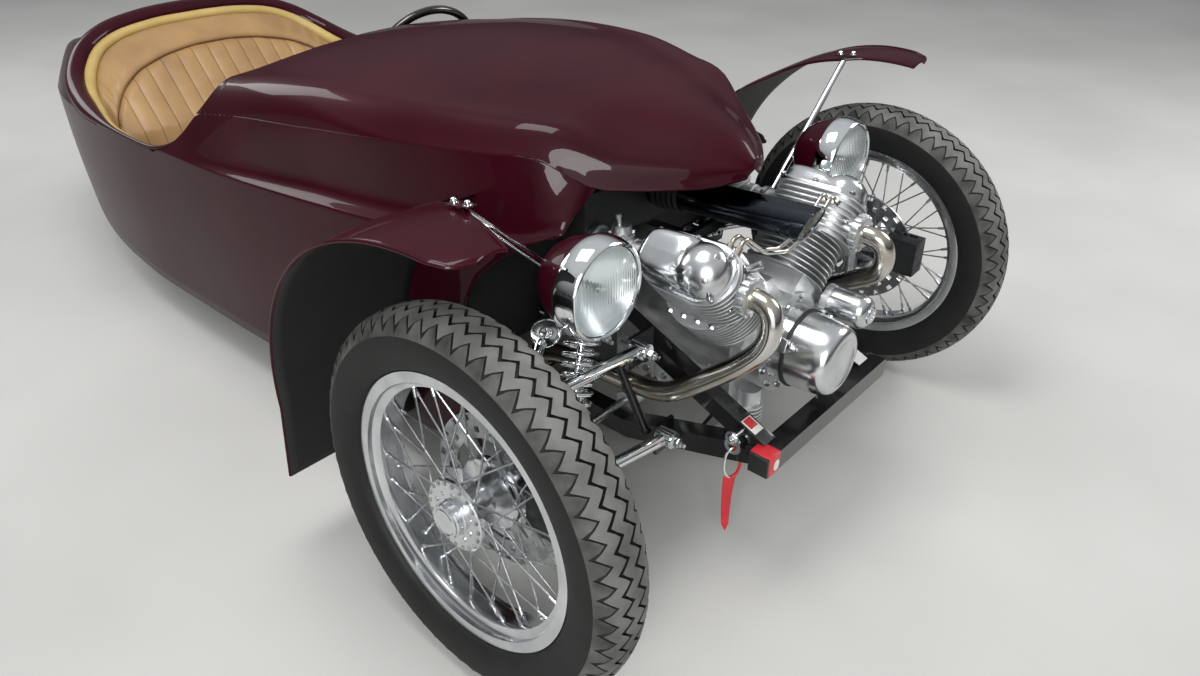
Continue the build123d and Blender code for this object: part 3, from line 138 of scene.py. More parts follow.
def metalMaterial(name, look):  # dull is the colour of patches; patch, grain and height are in mm
    material, tree, shader, place = startMaterial(name, {"Metallic": look.get("metallic", 1.0)})
    patch = addNode(
        tree, "ShaderNodeTexNoise", {"Scale": 1000 / look["patch"], "Detail": 4}, {"Vector": place}
    )
    shaderColour = rampBetween(
        tree, patch.outputs["Fac"], hexToLinear(look["dull"]), hexToLinear(look["colour"])
    )
    roughness = rampBetween(tree, patch.outputs["Fac"], grey(look["rough"][1]), grey(look["rough"][0]))
    grain = addNode(
        tree, "ShaderNodeTexNoise", {"Scale": 1000 / look["grain"], "Detail": 3}, {"Vector": place}
    )
    bump = addNode(
        tree, "ShaderNodeBump", {"Strength": look.get("bump", 0.2), "Distance": look["height"] / 1000},
        {"Height": grain.outputs["Fac"]},
    )
    tree.links.new(shaderColour, shader.inputs["Base Color"])
    tree.links.new(roughness, shader.inputs["Roughness"])
    tree.links.new(bump.outputs["Normal"], shader.inputs["Normal"])
    return material


# bare sand cast aluminium: light grey, soft broken highlights from the sand grain
castAluminium = metalMaterial(
    "castAluminium",
    {
        "colour": "#dcdede", "dull": "#bfc1c2", "rough": (0.36, 0.52),
        "patch": 40, "grain": 2.2, "height": 0.5, "bump": 0.35,
    },
)
# machine polished aluminium: bright, slightly blurred by fine polishing lines
polishedAluminium = metalMaterial(
    "polishedAluminium",
    {
        "colour": "#dcdee0", "dull": "#c6c9cb", "rough": (0.16, 0.27),
        "patch": 60, "grain": 3, "height": 0.08, "bump": 0.15,
    },
)
# bright chrome plate: mirror with a faint cool cast
chromePlate = metalMaterial(
    "chromePlate",
    {
        "colour": "#eef0f1", "dull": "#dfe2e4", "rough": (0.04, 0.09),
        "patch": 50, "grain": 6, "height": 0.05, "bump": 0.1,
    },
)
# stainless exhaust tube: warm straw tint where the heat has been
stainlessTube = metalMaterial(
    "stainlessTube",
    {
        "colour": "#cfcdc9", "dull": "#b3aa9a", "rough": (0.14, 0.24),
        "patch": 90, "grain": 4, "height": 0.06, "bump": 0.12,
    },
)
# vacuum silvered reflector: very bright, slightly diffuse, so the lamp looks lit by the room
silvering = metalMaterial(
    "silvering",
    {
        "colour": "#f7f8f8", "dull": "#eceeee", "rough": (0.3, 0.38),
        "patch": 40, "grain": 8, "height": 0.05, "bump": 0.05,
    },
)
# machined bright steel: grey, medium sharp highlights
brightSteel = metalMaterial(
    "brightSteel",
    {
        "colour": "#b7b9bb", "dull": "#8f9193", "rough": (0.22, 0.36),
        "patch": 30, "grain": 3, "height": 0.1, "bump": 0.2,
    },
)
# dark smoked tube: polished and nearly black, it mirrors its surroundings
smokedTube = metalMaterial(
    "smokedTube",
    {
        "colour": "#4a5056", "dull": "#3b4046", "rough": (0.08, 0.16),
        "patch": 60, "grain": 5, "height": 0.05, "bump": 0.1,
    },
)
# black phosphated iron casting of the caliper and joints
blackCasting = metalMaterial(
    "blackCasting",
    {
        "colour": "#2a2b2d", "dull": "#1b1c1d", "rough": (0.38, 0.55),
        "patch": 25, "grain": 2, "height": 0.3, "bump": 0.3, "metallic": 0.4,
    },
)


def paintMaterial(name, look):
    # lacquered enamel: base colour, its deeper tone, orange peel size and height in mm
    material, tree, shader, place = startMaterial(
        name,
        {
            "Roughness": look["rough"], "Coat Weight": look["coat"],
            "Coat Roughness": look.get("gloss", 0.03), "IOR": look.get("index", 1.5),
            "Specular IOR Level": look.get("shine", 0.5),
        },
    )
    tone = addNode(
        tree, "ShaderNodeTexNoise", {"Scale": 1000 / look["patch"], "Detail": 3}, {"Vector": place}
    )
    colour = rampBetween(
        tree, tone.outputs["Fac"], hexToLinear(look["deep"]), hexToLinear(look["colour"]), 0.3, 0.7
    )
    peel = addNode(tree, "ShaderNodeTexNoise", {"Scale": 1000 / look["peel"], "Detail": 2}, {"Vector": place})
    bump = addNode(
        tree, "ShaderNodeBump", {"Strength": 0.12, "Distance": look["height"] / 1000},
        {"Height": peel.outputs["Fac"]},
    )
    tree.links.new(colour, shader.inputs["Base Color"])
    tree.links.new(bump.outputs["Normal"], shader.inputs["Normal"])
    return material


# maroon two pack paint under clear lacquer: dark wine red, sharp reflections with slight orange peel
maroonPaint = paintMaterial(
    "maroonPaint",
    {
        "colour": "#330412", "deep": "#28030d", "rough": 0.4, "coat": 0.28, "gloss": 0.02, "shine": 0.05,
        "patch": 300, "peel": 7, "height": 0.05,
    },
)
# black chassis enamel: hard gloss with fine dust
blackEnamel = paintMaterial(
    "blackEnamel",
    {
        "colour": "#0e0e10", "deep": "#08080a", "rough": 0.3, "coat": 0.8, "gloss": 0.05, "shine": 0.25,
        "patch": 60, "peel": 4, "height": 0.06,
    },
)
# black underseal inside the mudguards and under the floor: dull and slightly rough
blackUnderseal = paintMaterial(
    "blackUnderseal",
    {
        "colour": "#141415", "deep": "#0c0c0d", "rough": 0.7, "coat": 0.0,
        "patch": 40, "peel": 3, "height": 0.5,
    },
)
# gloss black steering rim
rimPlastic = paintMaterial(
    "rimPlastic",
    {
        "colour": "#151112", "deep": "#0d0a0b", "rough": 0.18, "coat": 0.5,
        "patch": 60, "peel": 5, "height": 0.04,
    },
)
# moulded black polypropylene of the air box: even, dull, fine spark texture
mouldedPlastic = paintMaterial(
    "mouldedPlastic",
    {
        "colour": "#1a1b1c", "deep": "#131314", "rough": 0.55, "coat": 0.0,
        "patch": 50, "peel": 1.5, "height": 0.2,
    },
)
# red self adhesive tape and red webbing of the tag
redTape = paintMaterial(
    "redTape",
    {
        "colour": "#c4202c", "deep": "#ad1a25", "rough": 0.4, "coat": 0.2,
        "patch": 20, "peel": 2, "height": 0.1,
    },
)

# printed paper of the blank sticker
stickerPaper = paintMaterial(
    "stickerPaper",
    {
        "colour": "#dcdad4", "deep": "#cfccc5", "rough": 0.45, "coat": 0.1,
        "patch": 15, "peel": 2, "height": 0.05,
    },
)


def leatherMaterial(name, look):
    # dyed hide: pebble grain about 1.4 mm, creases, and a tone that changes in broad patches
    material, tree, shader, place = startMaterial(name, {"Roughness": 0.5, "IOR": 1.5})
    shade = addNode(tree, "ShaderNodeTexNoise", {"Scale": 1000 / 120, "Detail": 5}, {"Vector": place})
    colour = rampBetween(
        tree, shade.outputs["Fac"], hexToLinear(look["deep"]), hexToLinear(look["colour"]), 0.3, 0.7
    )
    pebble = addNode(
        tree, "ShaderNodeTexVoronoi", {"Scale": 1000 / 2.6, "feature": "DISTANCE_TO_EDGE"}, {"Vector": place}
    )
    wrinkle = addNode(
        tree, "ShaderNodeTexNoise", {"Scale": 1000 / 22, "Detail": 6, "Distortion": 0.6}, {"Vector": place}
    )
    grainBump = addNode(
        tree, "ShaderNodeBump", {"Strength": 0.35, "Distance": 0.0006}, {"Height": pebble.outputs["Distance"]}
    )
    wrinkleBump = addNode(
        tree, "ShaderNodeBump", {"Strength": 0.3, "Distance": 0.002},
        {"Height": wrinkle.outputs["Fac"], "Normal": grainBump.outputs["Normal"]},
    )
    roughness = rampBetween(tree, shade.outputs["Fac"], grey(0.6), grey(0.42))
    tree.links.new(colour, shader.inputs["Base Color"])
    tree.links.new(roughness, shader.inputs["Roughness"])
    tree.links.new(wrinkleBump.outputs["Normal"], shader.inputs["Normal"])
    return material


tanHide = leatherMaterial("tanHide", {"colour": "#a27f52", "deep": "#8b6a43"})
paleHide = leatherMaterial("paleHide", {"colour": "#bba263", "deep": "#a58a4e"})  # the lighter piped roll

# waxed thread in the seam, a dark line between two hides
seamThread = leatherMaterial("seamThread", {"colour": "#6b4423", "deep": "#4d2f17"})

# tyre rubber: near black walls, and a dusty grey bloom on the tread
sideRubber = paintMaterial(
    "sideRubber",
    {
        "colour": "#191a19", "deep": "#111211", "rough": 0.6, "coat": 0.0, "shine": 0.3,
        "patch": 50, "peel": 3, "height": 0.15,
    },
)
# outer tread blocks: a grey between the dusty crown and the dark wall, painted shade of the rounded shoulder,
# scuffed in patches
shadedShoulderRubber = paintMaterial(
    "shadedShoulderRubber",
    {
        "colour": "#5a5a57", "deep": "#2c2d2b", "rough": 0.75, "coat": 0.0, "shine": 0.3,
        "patch": 45, "peel": 2, "height": 0.3,
    },
)
treadRubber, treadTree, treadShader, treadPlace = startMaterial("treadRubber", {"Roughness": 0.82})
dust = addNode(
    treadTree, "ShaderNodeTexNoise", {"Scale": 1000 / 60, "Detail": 5, "Roughness": 0.5},
    {"Vector": treadPlace},
)
dustColour = rampBetween(
    treadTree, dust.outputs["Fac"], hexToLinear("#4b4b49"), hexToLinear("#6c6c69"), 0.35, 0.65
)
dustGrain = addNode(treadTree, "ShaderNodeTexNoise", {"Scale": 1000 / 2, "Detail": 3}, {"Vector": treadPlace})
dustBump = addNode(
    treadTree, "ShaderNodeBump", {"Strength": 0.25, "Distance": 0.0004}, {"Height": dustGrain.outputs["Fac"]}
)
treadTree.links.new(dustColour, treadShader.inputs["Base Color"])
treadTree.links.new(dustBump.outputs["Normal"], treadShader.inputs["Normal"])

# clear pressed lamp glass: colourless, bright edges
lampGlass, glassTree, glassShader, glassPlace = startMaterial(
    "lampGlass", {"Transmission Weight": 1.0, "IOR": 1.5, "Base Color": hexToLinear("#f6fafb")}
)
glassHaze = addNode(
    glassTree, "ShaderNodeTexNoise", {"Scale": 1000 / 30, "Detail": 4}, {"Vector": glassPlace}
)
glassRough = rampBetween(glassTree, glassHaze.outputs["Fac"], grey(0.02), grey(0.07))
glassTree.links.new(glassRough, glassShader.inputs["Roughness"])

# plain pale floor
floorPaint, floorTree, floorShader, floorPlace = startMaterial("floorPaint", {"Roughness": 0.75})
floorSpeckle = addNode(
    floorTree, "ShaderNodeTexNoise", {"Scale": 1000 / 900, "Detail": 3}, {"Vector": floorPlace}
)
floorTree.links.new(
    rampBetween(floorTree, floorSpeckle.outputs["Fac"], hexToLinear("#b3b2af"), hexToLinear("#bdbcb9")),
    floorShader.inputs["Base Color"],
)
print("materials done")

# floor
floorMesh = bpy.data.meshes.new("floor")
floorMesh.from_pydata([(-20, -20, 0), (20, -20, 0), (20, 20, 0), (-20, 20, 0)], [], [(0, 1, 2, 3)])
floorMesh.materials.append(floorPaint)
floorObject = bpy.data.objects.new("floor", floorMesh)
bpy.context.scene.collection.objects.link(floorObject)

# what each CAD node is made of
nodeFinish = (
    (sideRubber, "tyre_front_right tyre_front_left tyre_rear"),
    (polishedAluminium, "wheel_front_right wheel_front_left wheel_rear valve_covers end_covers"),
    (chromePlate, "wishbones spring_dampers headlamp_bezels front_stays tow_eye"),
    (castAluminium, "rack_housing crankcase cylinders carburettors"),
    (blackEnamel, "frame rear_fork cross_tubes suspension_brackets"),
    (maroonPaint, "coaming_roll bonnet side_panel_right side_panel_left tail_shell dashboard headlamp_bowls"),
    (maroonPaint, "mudguard_right mudguard_left"), (blackUnderseal, "floor_pan bulkhead"),
    (tanHide, "seat_cushion seat_back side_linings"), (stainlessTube, "oil_hoses exhausts"),
    (rimPlastic, "steering_wheel"), (smokedTube, "intake_tube"), (mouldedPlastic, "air_box"),
    (lampGlass, "headlamp_lenses"),
)
finishOf = {node: material for material, nodes in nodeFinish for node in nodes.split()}
for nodeName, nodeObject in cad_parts.items():
    nodeObject.data.materials.clear()
    # what the list leaves out, the knuckles, track rods and column, is bright steel
    nodeObject.data.materials.append(finishOf.get(nodeName, brightSteel))
print("CAD finishes done")


# mesh helpers: a lump is (vertices, faces), a piece is one or more lumps
def bmeshLump(bm):
    bm.verts.index_update()
    lump = ([v.co.copy() for v in bm.verts], [[v.index for v in f.verts] for f in bm.faces])
    bm.free()
    return lump


def moved(lump, matrix):
    return [matrix @ v for v in lump[0]], lump[1]


def mirroredLump(lump):
    return [Vector((-v.x, v.y, v.z)) for v in lump[0]], [list(reversed(f)) for f in lump[1]]


def polar(radius, turn, along=0):  # point round local Z, radius and height in mm, turn in radians
    return Vector((radius / 1000 * math.cos(turn), radius / 1000 * math.sin(turn), along / 1000))


def turnsOf(count, offset=0):  # equal steps round a circle, in radians
    return [2 * math.pi * (i + offset) / count for i in range(count)]


def readLine(line, place, beyond=None):  # second value of a line of points at a place along it
    for (a, b), (c, d) in zip(line, line[1:]):
        if a <= place <= c and c > a:
            return b + (d - b) * (place - a) / (c - a)
    return line[-1][1] if beyond is None else beyond


def between(low, high, isLow, steps=30):  # the two sides of the place where a test changes, by halving
    for _ in range(steps):
        middle = (low + high) / 2
        if isLow(middle):
            low = middle
        else:
            high = middle
    return low, high


def ramped(value):  # 0 to 1 and no further
    return min(1, max(0, value))


def eased(value):  # 0 to 1 with soft ends
    grow = ramped(value)
    return grow * grow * (3 - 2 * grow)


def joined(lumps):
    vertices, faces = [], []
    for lump in lumps:
        start = len(vertices)
        vertices += lump[0]
        faces += [[i + start for i in f] for f in lump[1]]
    return vertices, faces


def stretched(lump, wide, tall):  # along local X and Y
    return [Vector((v.x * wide, v.y * tall, v.z)) for v in lump[0]], lump[1]


def bothSides(lumps):  # right hand lumps with their mirror images
    return joined(lumps + [mirroredLump(lump) for lump in lumps])


def turnTo(origin, direction, hint=(0, 0, 1)):
    # matrix that puts local Z along direction and local X near hint
    z = Vector(direction).normalized()
    x = Vector(hint) - z * Vector(hint).dot(z)
    if x.length < 1e-6:
        x = Vector((1, 0, 0)) - z * z.x
    x.normalize()
    y = z.cross(x)
    return Matrix(
        ((x.x, y.x, z.x, origin[0]), (x.y, y.y, z.y, origin[1]), (x.z, y.z, z.z, origin[2]), (0, 0, 0, 1))
    )


def lathed(profile, segments=48, closed=False):  # profile of (radius, along) in mm about Z
    vertices, faces, rings = [], [], []
    for radius, along in profile:
        if radius < 1e-4:
            rings.append([len(vertices)])
            vertices.append(Vector((0, 0, along / 1000)))
        else:
            rings.append(list(range(len(vertices), len(vertices) + segments)))
            vertices += [polar(radius, turn, along) for turn in turnsOf(segments)]
    pairs = list(zip(rings, rings[1:])) + ([(rings[-1], rings[0])] if closed else [])
    for lower, upper in pairs:
        for i in range(segments):
            j = (i + 1) % segments
            if len(lower) > 1 and len(upper) > 1:
                faces.append([lower[i], lower[j], upper[j], upper[i]])
            elif len(upper) > 1:
                faces.append([lower[0], upper[j], upper[i]])
            elif len(lower) > 1:
                faces.append([lower[i], lower[j], upper[0]])
    return vertices, faces


def turned(profile, segments, place, way, closed=False):  # lathed lump set at a place, its axis along a way
    return moved(lathed(profile, segments, closed), turnTo(place, way))


def roundedBox(size, radius, segments=3):  # mm
    bm = bmesh.new()
    bmesh.ops.create_cube(bm, size=1)
    bmesh.ops.scale(bm, vec=Vector(size) / 1000, verts=bm.verts)
    if radius:
        bmesh.ops.bevel(
            bm, geom=bm.edges[:], offset=radius / 1000, segments=segments, profile=0.5, affect="EDGES"
        )
    return bmeshLump(bm)


def prism(outline, height, bevel=0, segments=2):  # outline of (x, y) in mm, raised along Z
    bm = bmesh.new()
    base = [bm.verts.new((x / 1000, y / 1000, 0)) for x, y in outline]
    face = bm.faces.new(base)
    raised = bmesh.ops.extrude_face_region(bm, geom=[face])
    top = [v for v in raised["geom"] if isinstance(v, bmesh.types.BMVert)]
    bmesh.ops.translate(bm, vec=(0, 0, height / 1000), verts=top)
    bmesh.ops.recalc_face_normals(bm, faces=bm.faces)
    if bevel:
        edges = [e for e in bm.edges if all(v in top for v in e.verts)]
        bmesh.ops.bevel(bm, geom=edges, offset=bevel / 1000, segments=segments, profile=0.5, affect="EDGES")
    return bmeshLump(bm)


def tubeLump(points, radius, sides=12, smooth=True, radii=None):
    # round tube along points in metres, radius in mm
    if smooth:
        curve = bpy.data.curves.new("path", "CURVE")
        curve.dimensions = "3D"
        spline = curve.splines.new("NURBS")
        spline.points.add(len(points) - 1)
        for point, place in zip(spline.points, points):
            point.co = (*place, 1)
        spline.order_u = 3
        spline.use_endpoint_u = True
        spline.resolution_u = 8
        holder = bpy.data.objects.new("path", curve)
        line = bpy.data.meshes.new_from_object(holder)
        points = [v.co.copy() for v in line.vertices]
        bpy.data.objects.remove(holder)
        bpy.data.curves.remove(curve)
        bpy.data.meshes.remove(line)
    vertices, faces = [], []
    side = None
    count = len(points)
    for index, point in enumerate(points):
        ahead = (points[min(index + 1, count - 1)] - points[max(index - 1, 0)]).normalized()
        if side is None:
            side = ahead.orthogonal().normalized()
        side = (side - ahead * side.dot(ahead)).normalized()
        over = ahead.cross(side)
        share = index / (count - 1)
        size = (radii(share) if radii else radius) / 1000
        vertices += [
            point + (side * math.cos(turn) + over * math.sin(turn)) * size for turn in turnsOf(sides)
        ]
    for index in range(count - 1):
        for i in range(sides):
            j = (i + 1) % sides
            a, b = index * sides, (index + 1) * sides
            faces.append([a + i, a + j, b + j, b + i])
    faces.append(list(range(sides))[::-1])
    faces.append([(count - 1) * sides + i for i in range(sides)])
    return vertices, faces


def boxAt(size, radius, place):  # size and radius in mm, place in metres
    return moved(roundedBox(size, radius), Matrix.Translation(place))


def rodLump(start, end, radius, sides=16):
    return tubeLump([Vector(start), Vector(end)], radius, sides, smooth=False)


def boltLump(place, direction, across=13, height=8, washer=True):  # hexagon head with its washer, mm
    hexagon = [(across / 1.732 * math.cos(turn), across / 1.732 * math.sin(turn)) for turn in turnsOf(6)]
    lumps = [moved(prism(hexagon, height, 0.8), Matrix.Translation((0, 0, 0.0015 if washer else 0)))]
    if washer:
        lumps.append(lathed([(0, 0), (across * 0.85, 0), (across * 0.85, 1.5), (0, 1.5)], 24))
    return moved(joined(lumps), turnTo(place, direction))


def fixNormals(mesh, weld=False):  # faces turned outwards, and close points made one where it says weld
    bm = bmesh.new()
    bm.from_mesh(mesh)
    if weld:
        bmesh.ops.remove_doubles(bm, verts=bm.verts, dist=0.0001)
    bmesh.ops.recalc_face_normals(bm, faces=bm.faces)
    bm.to_mesh(mesh)
    bm.free()


def addPiece(name, lump, materials, sharp=35, weld=False, body="chassis"):
    mesh = bpy.data.meshes.new(name)
    mesh.from_pydata([tuple(v) for v in lump[0]], [], lump[1])
    for material in materials if isinstance(materials, list) else [materials]:
        mesh.materials.append(material)
    if weld:
        fixNormals(mesh, True)
    mesh.polygons.foreach_set("use_smooth", [True] * len(mesh.polygons))
    mesh.set_sharp_from_angle(angle=math.radians(sharp))
    piece = bpy.data.objects.new(name, mesh)
    bpy.context.scene.collection.objects.link(piece)
    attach(piece, body)
    return piece


def addTube(name, points, radius, material, sides=8, sharp=60, radii=None):  # points in metres
    return addPiece(
        name, tubeLump(points, radius, sides, smooth=False, radii=radii), material, sharp
    )


def addModifier(piece, kind, settings):
    modifier = piece.modifiers.new(kind.lower(), kind)
    for key, value in settings.items():
        setattr(modifier, key, value)


def addSheetWall(piece, thick):  # sheet metal: painted outside, the second material inside
    addModifier(piece, "SOLIDIFY", {
        "thickness": thick / 1000, "offset": -1, "material_offset": 1, "material_offset_rim": 0,
        "use_even_offset": False,
    })


# body shell: sections of the bonnet, sides and tail, millimetres behind the front axle
bodyTable = [
    # behind, crown, seam half, seam height, belt half, belt height, skirt half, skirt height
    (-50, 729, 22, 700, 318, 640, 318, 560),
    (-25, 754, 74, 694, 318, 640, 318, 560),
    (20, 775, 130, 692, 318, 640, 318, 560),
    (75, 791, 187, 692, 318, 640, 318, 400),
    (120, 802, 232, 697, 324, 636, 320, 120),
    (200, 815, 288, 745, 352, 606, 348, 120),
    (300, 827, 332, 745, 382, 600, 378, 120),
    (480, 840, 398, 745, 424, 590, 414, 120),
    (700, 837, 424, 735, 450, 578, 435, 120),
    (900, 813, 432, 715, 464, 565, 448, 120),
    (1050, 787, 430, 690, 471, 555, 456, 120),
    (1300, 755, 440, 640, 475, 545, 462, 120),
    (1600, 715, 440, 610, 471, 530, 462, 120),
    (1950, 698, 403, 590, 434, 518, 424, 126),
    (2150, 676, 360, 570, 391, 503, 380, 160),
    (2350, 640, 294, 545, 323, 483, 310, 220),
    (2520, 592, 205, 512, 230, 460, 216, 300),
    (2630, 540, 106, 478, 121, 437, 110, 368),
    (2670, 500, 36, 462, 42, 430, 36, 400),
]
openingLine = [  # side view of the cockpit opening: behind, height
    (980, 950), (998, 802), (1032, 772), (1072, 735), (1122, 683), (1195, 612), (1262, 562), (1345, 534),
    (1600, 532), (1800, 545), (1930, 585), (2010, 640), (2045, 690), (2060, 950),
]
archLine = [(118, 640), (190, 604), (268, 540), (305, 470), (305, 100)]  # front edge of the sides
archReach = 420  # stations ahead of this one are drawn back behind the wheel arch
noLimit = 2000.0  # height above everything, where a line doesn't reach


def hermiteColumn(table, column, behind):  # smooth value of one column between the rows, without overshoot
    places = [row[0] for row in table]
    index = max(i for i, p in enumerate(places[:-1]) if p <= behind or i == 0)
    span = places[index + 1] - places[index]
    share = min(max((behind - places[index]) / span, 0), 1)

    def slope(i):
        if i == 0 or i == len(table) - 1:
            j = 0 if i == 0 else len(table) - 2
            return (table[j + 1][column] - table[j][column]) / (places[j + 1] - places[j])
        before = (table[i][column] - table[i - 1][column]) / (places[i] - places[i - 1])
        after = (table[i + 1][column] - table[i][column]) / (places[i + 1] - places[i])
        return 0 if before * after < 0 else (before + after) / 2

    a, b = table[index][column], table[index + 1][column]
    s, s2, s3 = share, share ** 2, share ** 3
    return (
        a * (2 * s3 - 3 * s2 + 1) + b * (3 * s2 - 2 * s3)
        + span * (slope(index) * (s3 - 2 * s2 + s) + slope(index + 1) * (s3 - s2))
    )


def catmull(points, place, clamped=False):  # smooth curve through points, its ends held or drawn straight on
    index = min(int(place), len(points) - 2)
    s = place - index
    p1, p2 = points[index], points[index + 1]
    p0, p3 = (p1, p2) if clamped else (
        [2 * a - b for a, b in zip(p1, p2)], [2 * b - a for a, b in zip(p1, p2)]
    )
    if index > 0:
        p0 = points[index - 1]
    if index + 2 < len(points):
        p3 = points[index + 2]
    return tuple(
        0.5 * (2 * b + (c - a) * s + (2 * a - 5 * b + 4 * c - d) * s ** 2 + (3 * b - a - 3 * c + d) * s ** 3)
        for a, b, c, d in zip(p0, p1, p2, p3)
    )


def sharpPoint(behind, place):  # place 0 skirt, 1 belt, 2 seam, 2 to 6 over the top to the crown
    crown, seamHalf, seamHigh, beltHalf, beltHigh, skirtHalf, skirtHigh = (
        hermiteColumn(bodyTable, c, behind) for c in range(1, 8)
    )
    if place <= 1:
        bulge = 5 * math.sin(math.pi * place)
        return skirtHalf + (beltHalf - skirtHalf) * place + bulge, skirtHigh + (beltHigh - skirtHigh) * place
    if place <= 2:  # a shelf that grows wider to the front lies above the belt line
        shelf = 24 * ramped((1190 - behind) / 480) * ramped((behind - 60) / 160)
        grown = shelf / 24
        inward, upward = (seamHalf - beltHalf) * (1 - grown), (seamHigh - beltHigh) * (1 - grown)
        keys = [
            (1, beltHalf, beltHigh),
            (1.14, beltHalf + inward * 0.1 - shelf, beltHigh + upward * 0.1 + 0.55 * shelf),
            (1.26, beltHalf + inward * 0.2 - 1.3 * shelf, beltHigh + upward * 0.2 + 1.5 * shelf),
            (2, seamHalf, seamHigh),
        ]
        for (p0, x0, z0), (p1, x1, z1) in zip(keys, keys[1:]):
            if place <= p1:
                share = (place - p0) / (p1 - p0)
                return x0 + (x1 - x0) * share, z0 + (z1 - z0) * share
    rise = crown - seamHigh
    cornerHalf = seamHalf - min(108, 0.36 * seamHalf)
    cornerHigh = crown - 0.34 * rise
    midHalf = (seamHalf + cornerHalf) / 2 + 0.2 * (cornerHigh - seamHigh)
    midHigh = (seamHigh + cornerHigh) / 2 + 0.2 * (seamHalf - cornerHalf)
    innerHigh = crown - (crown - cornerHigh) * 0.27
    points = [
        (seamHalf, seamHigh), (midHalf, midHigh), (cornerHalf, cornerHigh), (cornerHalf / 2, innerHigh),
        (0, crown), (-cornerHalf / 2, innerHigh),
    ]
    return catmull(points, min(place - 2, 4))


def bodyPoint(behind, place):
    # the section with its corners rounded: crisp at the belt, soft at the rear seam
    fade = ramped((behind - 420) / 380)
    corners = ((1, 0.02), (1.14, 0.06), (1.26, 0.06), (2, 0.03 + 0.6 * fade * fade * (3 - 2 * fade)))
    for corner, reach in corners:
        if abs(place - corner) < reach:
            t = (place - corner + reach) / (2 * reach)
            a, b, c = (sharpPoint(behind, q) for q in (corner - reach, corner, corner + reach))
            return tuple((1 - t) ** 2 * i + 2 * t * (1 - t) * j + t ** 2 * k for i, j, k in zip(a, b, c))
    return sharpPoint(behind, place)


def topPlace(behind):  # how far up the section the panel goes at this station
    limit = readLine(openingLine, behind, noLimit)
    if limit > bodyPoint(behind, 6)[1]:
        return 6.0
    return between(0.0, 6.0, lambda place: bodyPoint(behind, place)[1] < limit)[0]


def frontPlace(place):  # where the panel starts for a line below the seam
    def isAhead(behind):
        limit = readLine(archLine, behind, noLimit) if behind < archLine[-1][0] else -1
        return bodyPoint(behind, place)[1] < limit

    return between(100.0, 330.0, isAhead)[1]


def stations(start, end, step):
    count = max(2, int((end - start) / step))
    return [start + (end - start) * i / count for i in range(count + 1)]


def gridLump(rows, isRound=False):
    # rows of equally many points, the last joined to the first where it goes round
    width, count = len(rows[0]), len(rows)
    faces = []
    for r in range(count if isRound else count - 1):
        for c in range(width - 1):
            a, b = r * width + c, (r + 1) % count * width + c
            faces.append([a, b, b + 1, a + 1])
    return [p for row in rows for p in row], faces


def bodyPatch(strip, start, end, limited=True):
    # one strip of the body between two lines of the section, cut at the opening
    low, high, steps = strip
    rows = []
    dense = [b for b, _ in openingLine] + stations(990, 1120, 6) + stations(1990, 2060, 5)
    for behind in sorted(set(stations(start, end, 22) + [b for b in dense if start < b < end])):
        top = topPlace(behind) if limited else 6.0
        row = []
        for share in steps:
            place = low + (high - low) * share
            if high > top:
                place = low + max(0.0, min(high, top) - low) * share
            here = behind
            if place < 2 and behind < archReach:
                first = frontPlace(place)
                here = first + (behind - start) / (archReach - start) * (archReach - first)
            x, z = bodyPoint(here, place)
            row.append(at(-x, here, z))
        rows.append(row)
    return gridLump(rows)


def shares(count):  # 0 to 1 in equal steps
    return [i / count for i in range(count + 1)]


topShares = [0, 0.0035, 0.007] + [0.02 * i for i in range(1, 10)] + [0.2 + 0.8 * i / 28 for i in range(29)]
sideShares = [
    0, 0.005, 0.01, 0.015, 0.02, 0.05, 0.08, 0.11, 0.14, 0.17, 0.2, 0.23, 0.26, 0.29, 0.32, 0.37, 0.42,
    0.5, 0.58, 0.66, 0.74, 0.82, 0.9, 0.94, 0.97, 0.98, 0.99, 1,
]
lowShares = [i / 14 for i in range(14)] + [0.955, 0.98, 0.985, 0.99, 0.995, 1]
nose, sideFront, tailJoint, tail = -50, 118, 2058, 2670
strips = ((2, 6, topShares), (1, 2, sideShares), (0, 1, lowShares))
bodyParts = [bodyPatch(strip, nose if strip[0] == 2 else sideFront, tailJoint) for strip in strips]
bodyParts += [bodyPatch(strip, tailJoint, tail, False) for strip in strips]


def endRow(behind, places):  # the section's points at one end
    return [at(-bodyPoint(behind, place)[0], behind, bodyPoint(behind, place)[1]) for place in places]


noseRow = endRow(nose, [2 + 4 * s for s in topShares])
tailRow = endRow(tail, [6 * s for s in shares(62)])
bodyParts.append(gridLump([[at(0, nose - 4, 712)] * len(noseRow), noseRow]))
bodyParts.append(gridLump([tailRow, [at(0, tail + 6, 450)] * len(tailRow)]))
wholeBody = bothSides([joined(bodyParts)])
bodyShell = addPiece("bodyShell", wholeBody, [maroonPaint, blackUnderseal], 24, weld=True)
addSheetWall(bodyShell, 5)
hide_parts("bonnet", "side_panel_right", "side_panel_left", "tail_shell")


def innerOutline(behind, low, inset):  # the section inside the panels from a height up and over, mm
    points = []
    for i in range(121):
        place = 6 * i / 120
        x, z = bodyPoint(behind, place)
        x0, z0 = bodyPoint(behind, max(0, place - 0.02))
        x1, z1 = bodyPoint(behind, min(6, place + 0.02))
        length = math.hypot(x1 - x0, z1 - z0) or 1
        x, z = x - (z1 - z0) / length * inset, z + (x1 - x0) / length * inset
        if z > low and (x > 1 or i == 120):
            points.append((max(x, 0), z))
    points.insert(0, (points[0][0], low))
    return points + [(-x, z) for x, z in reversed(points[:-1])]


def crossWall(behind, low, thick, inset=8):  # upright panel across the body
    upright = Matrix(((1, 0, 0, 0), (0, 0, 1, at(0, behind, 0).y), (0, 1, 0, 0), (0, 0, 0, 1)))
    return moved(prism(innerOutline(behind, low, inset), thick), upright)


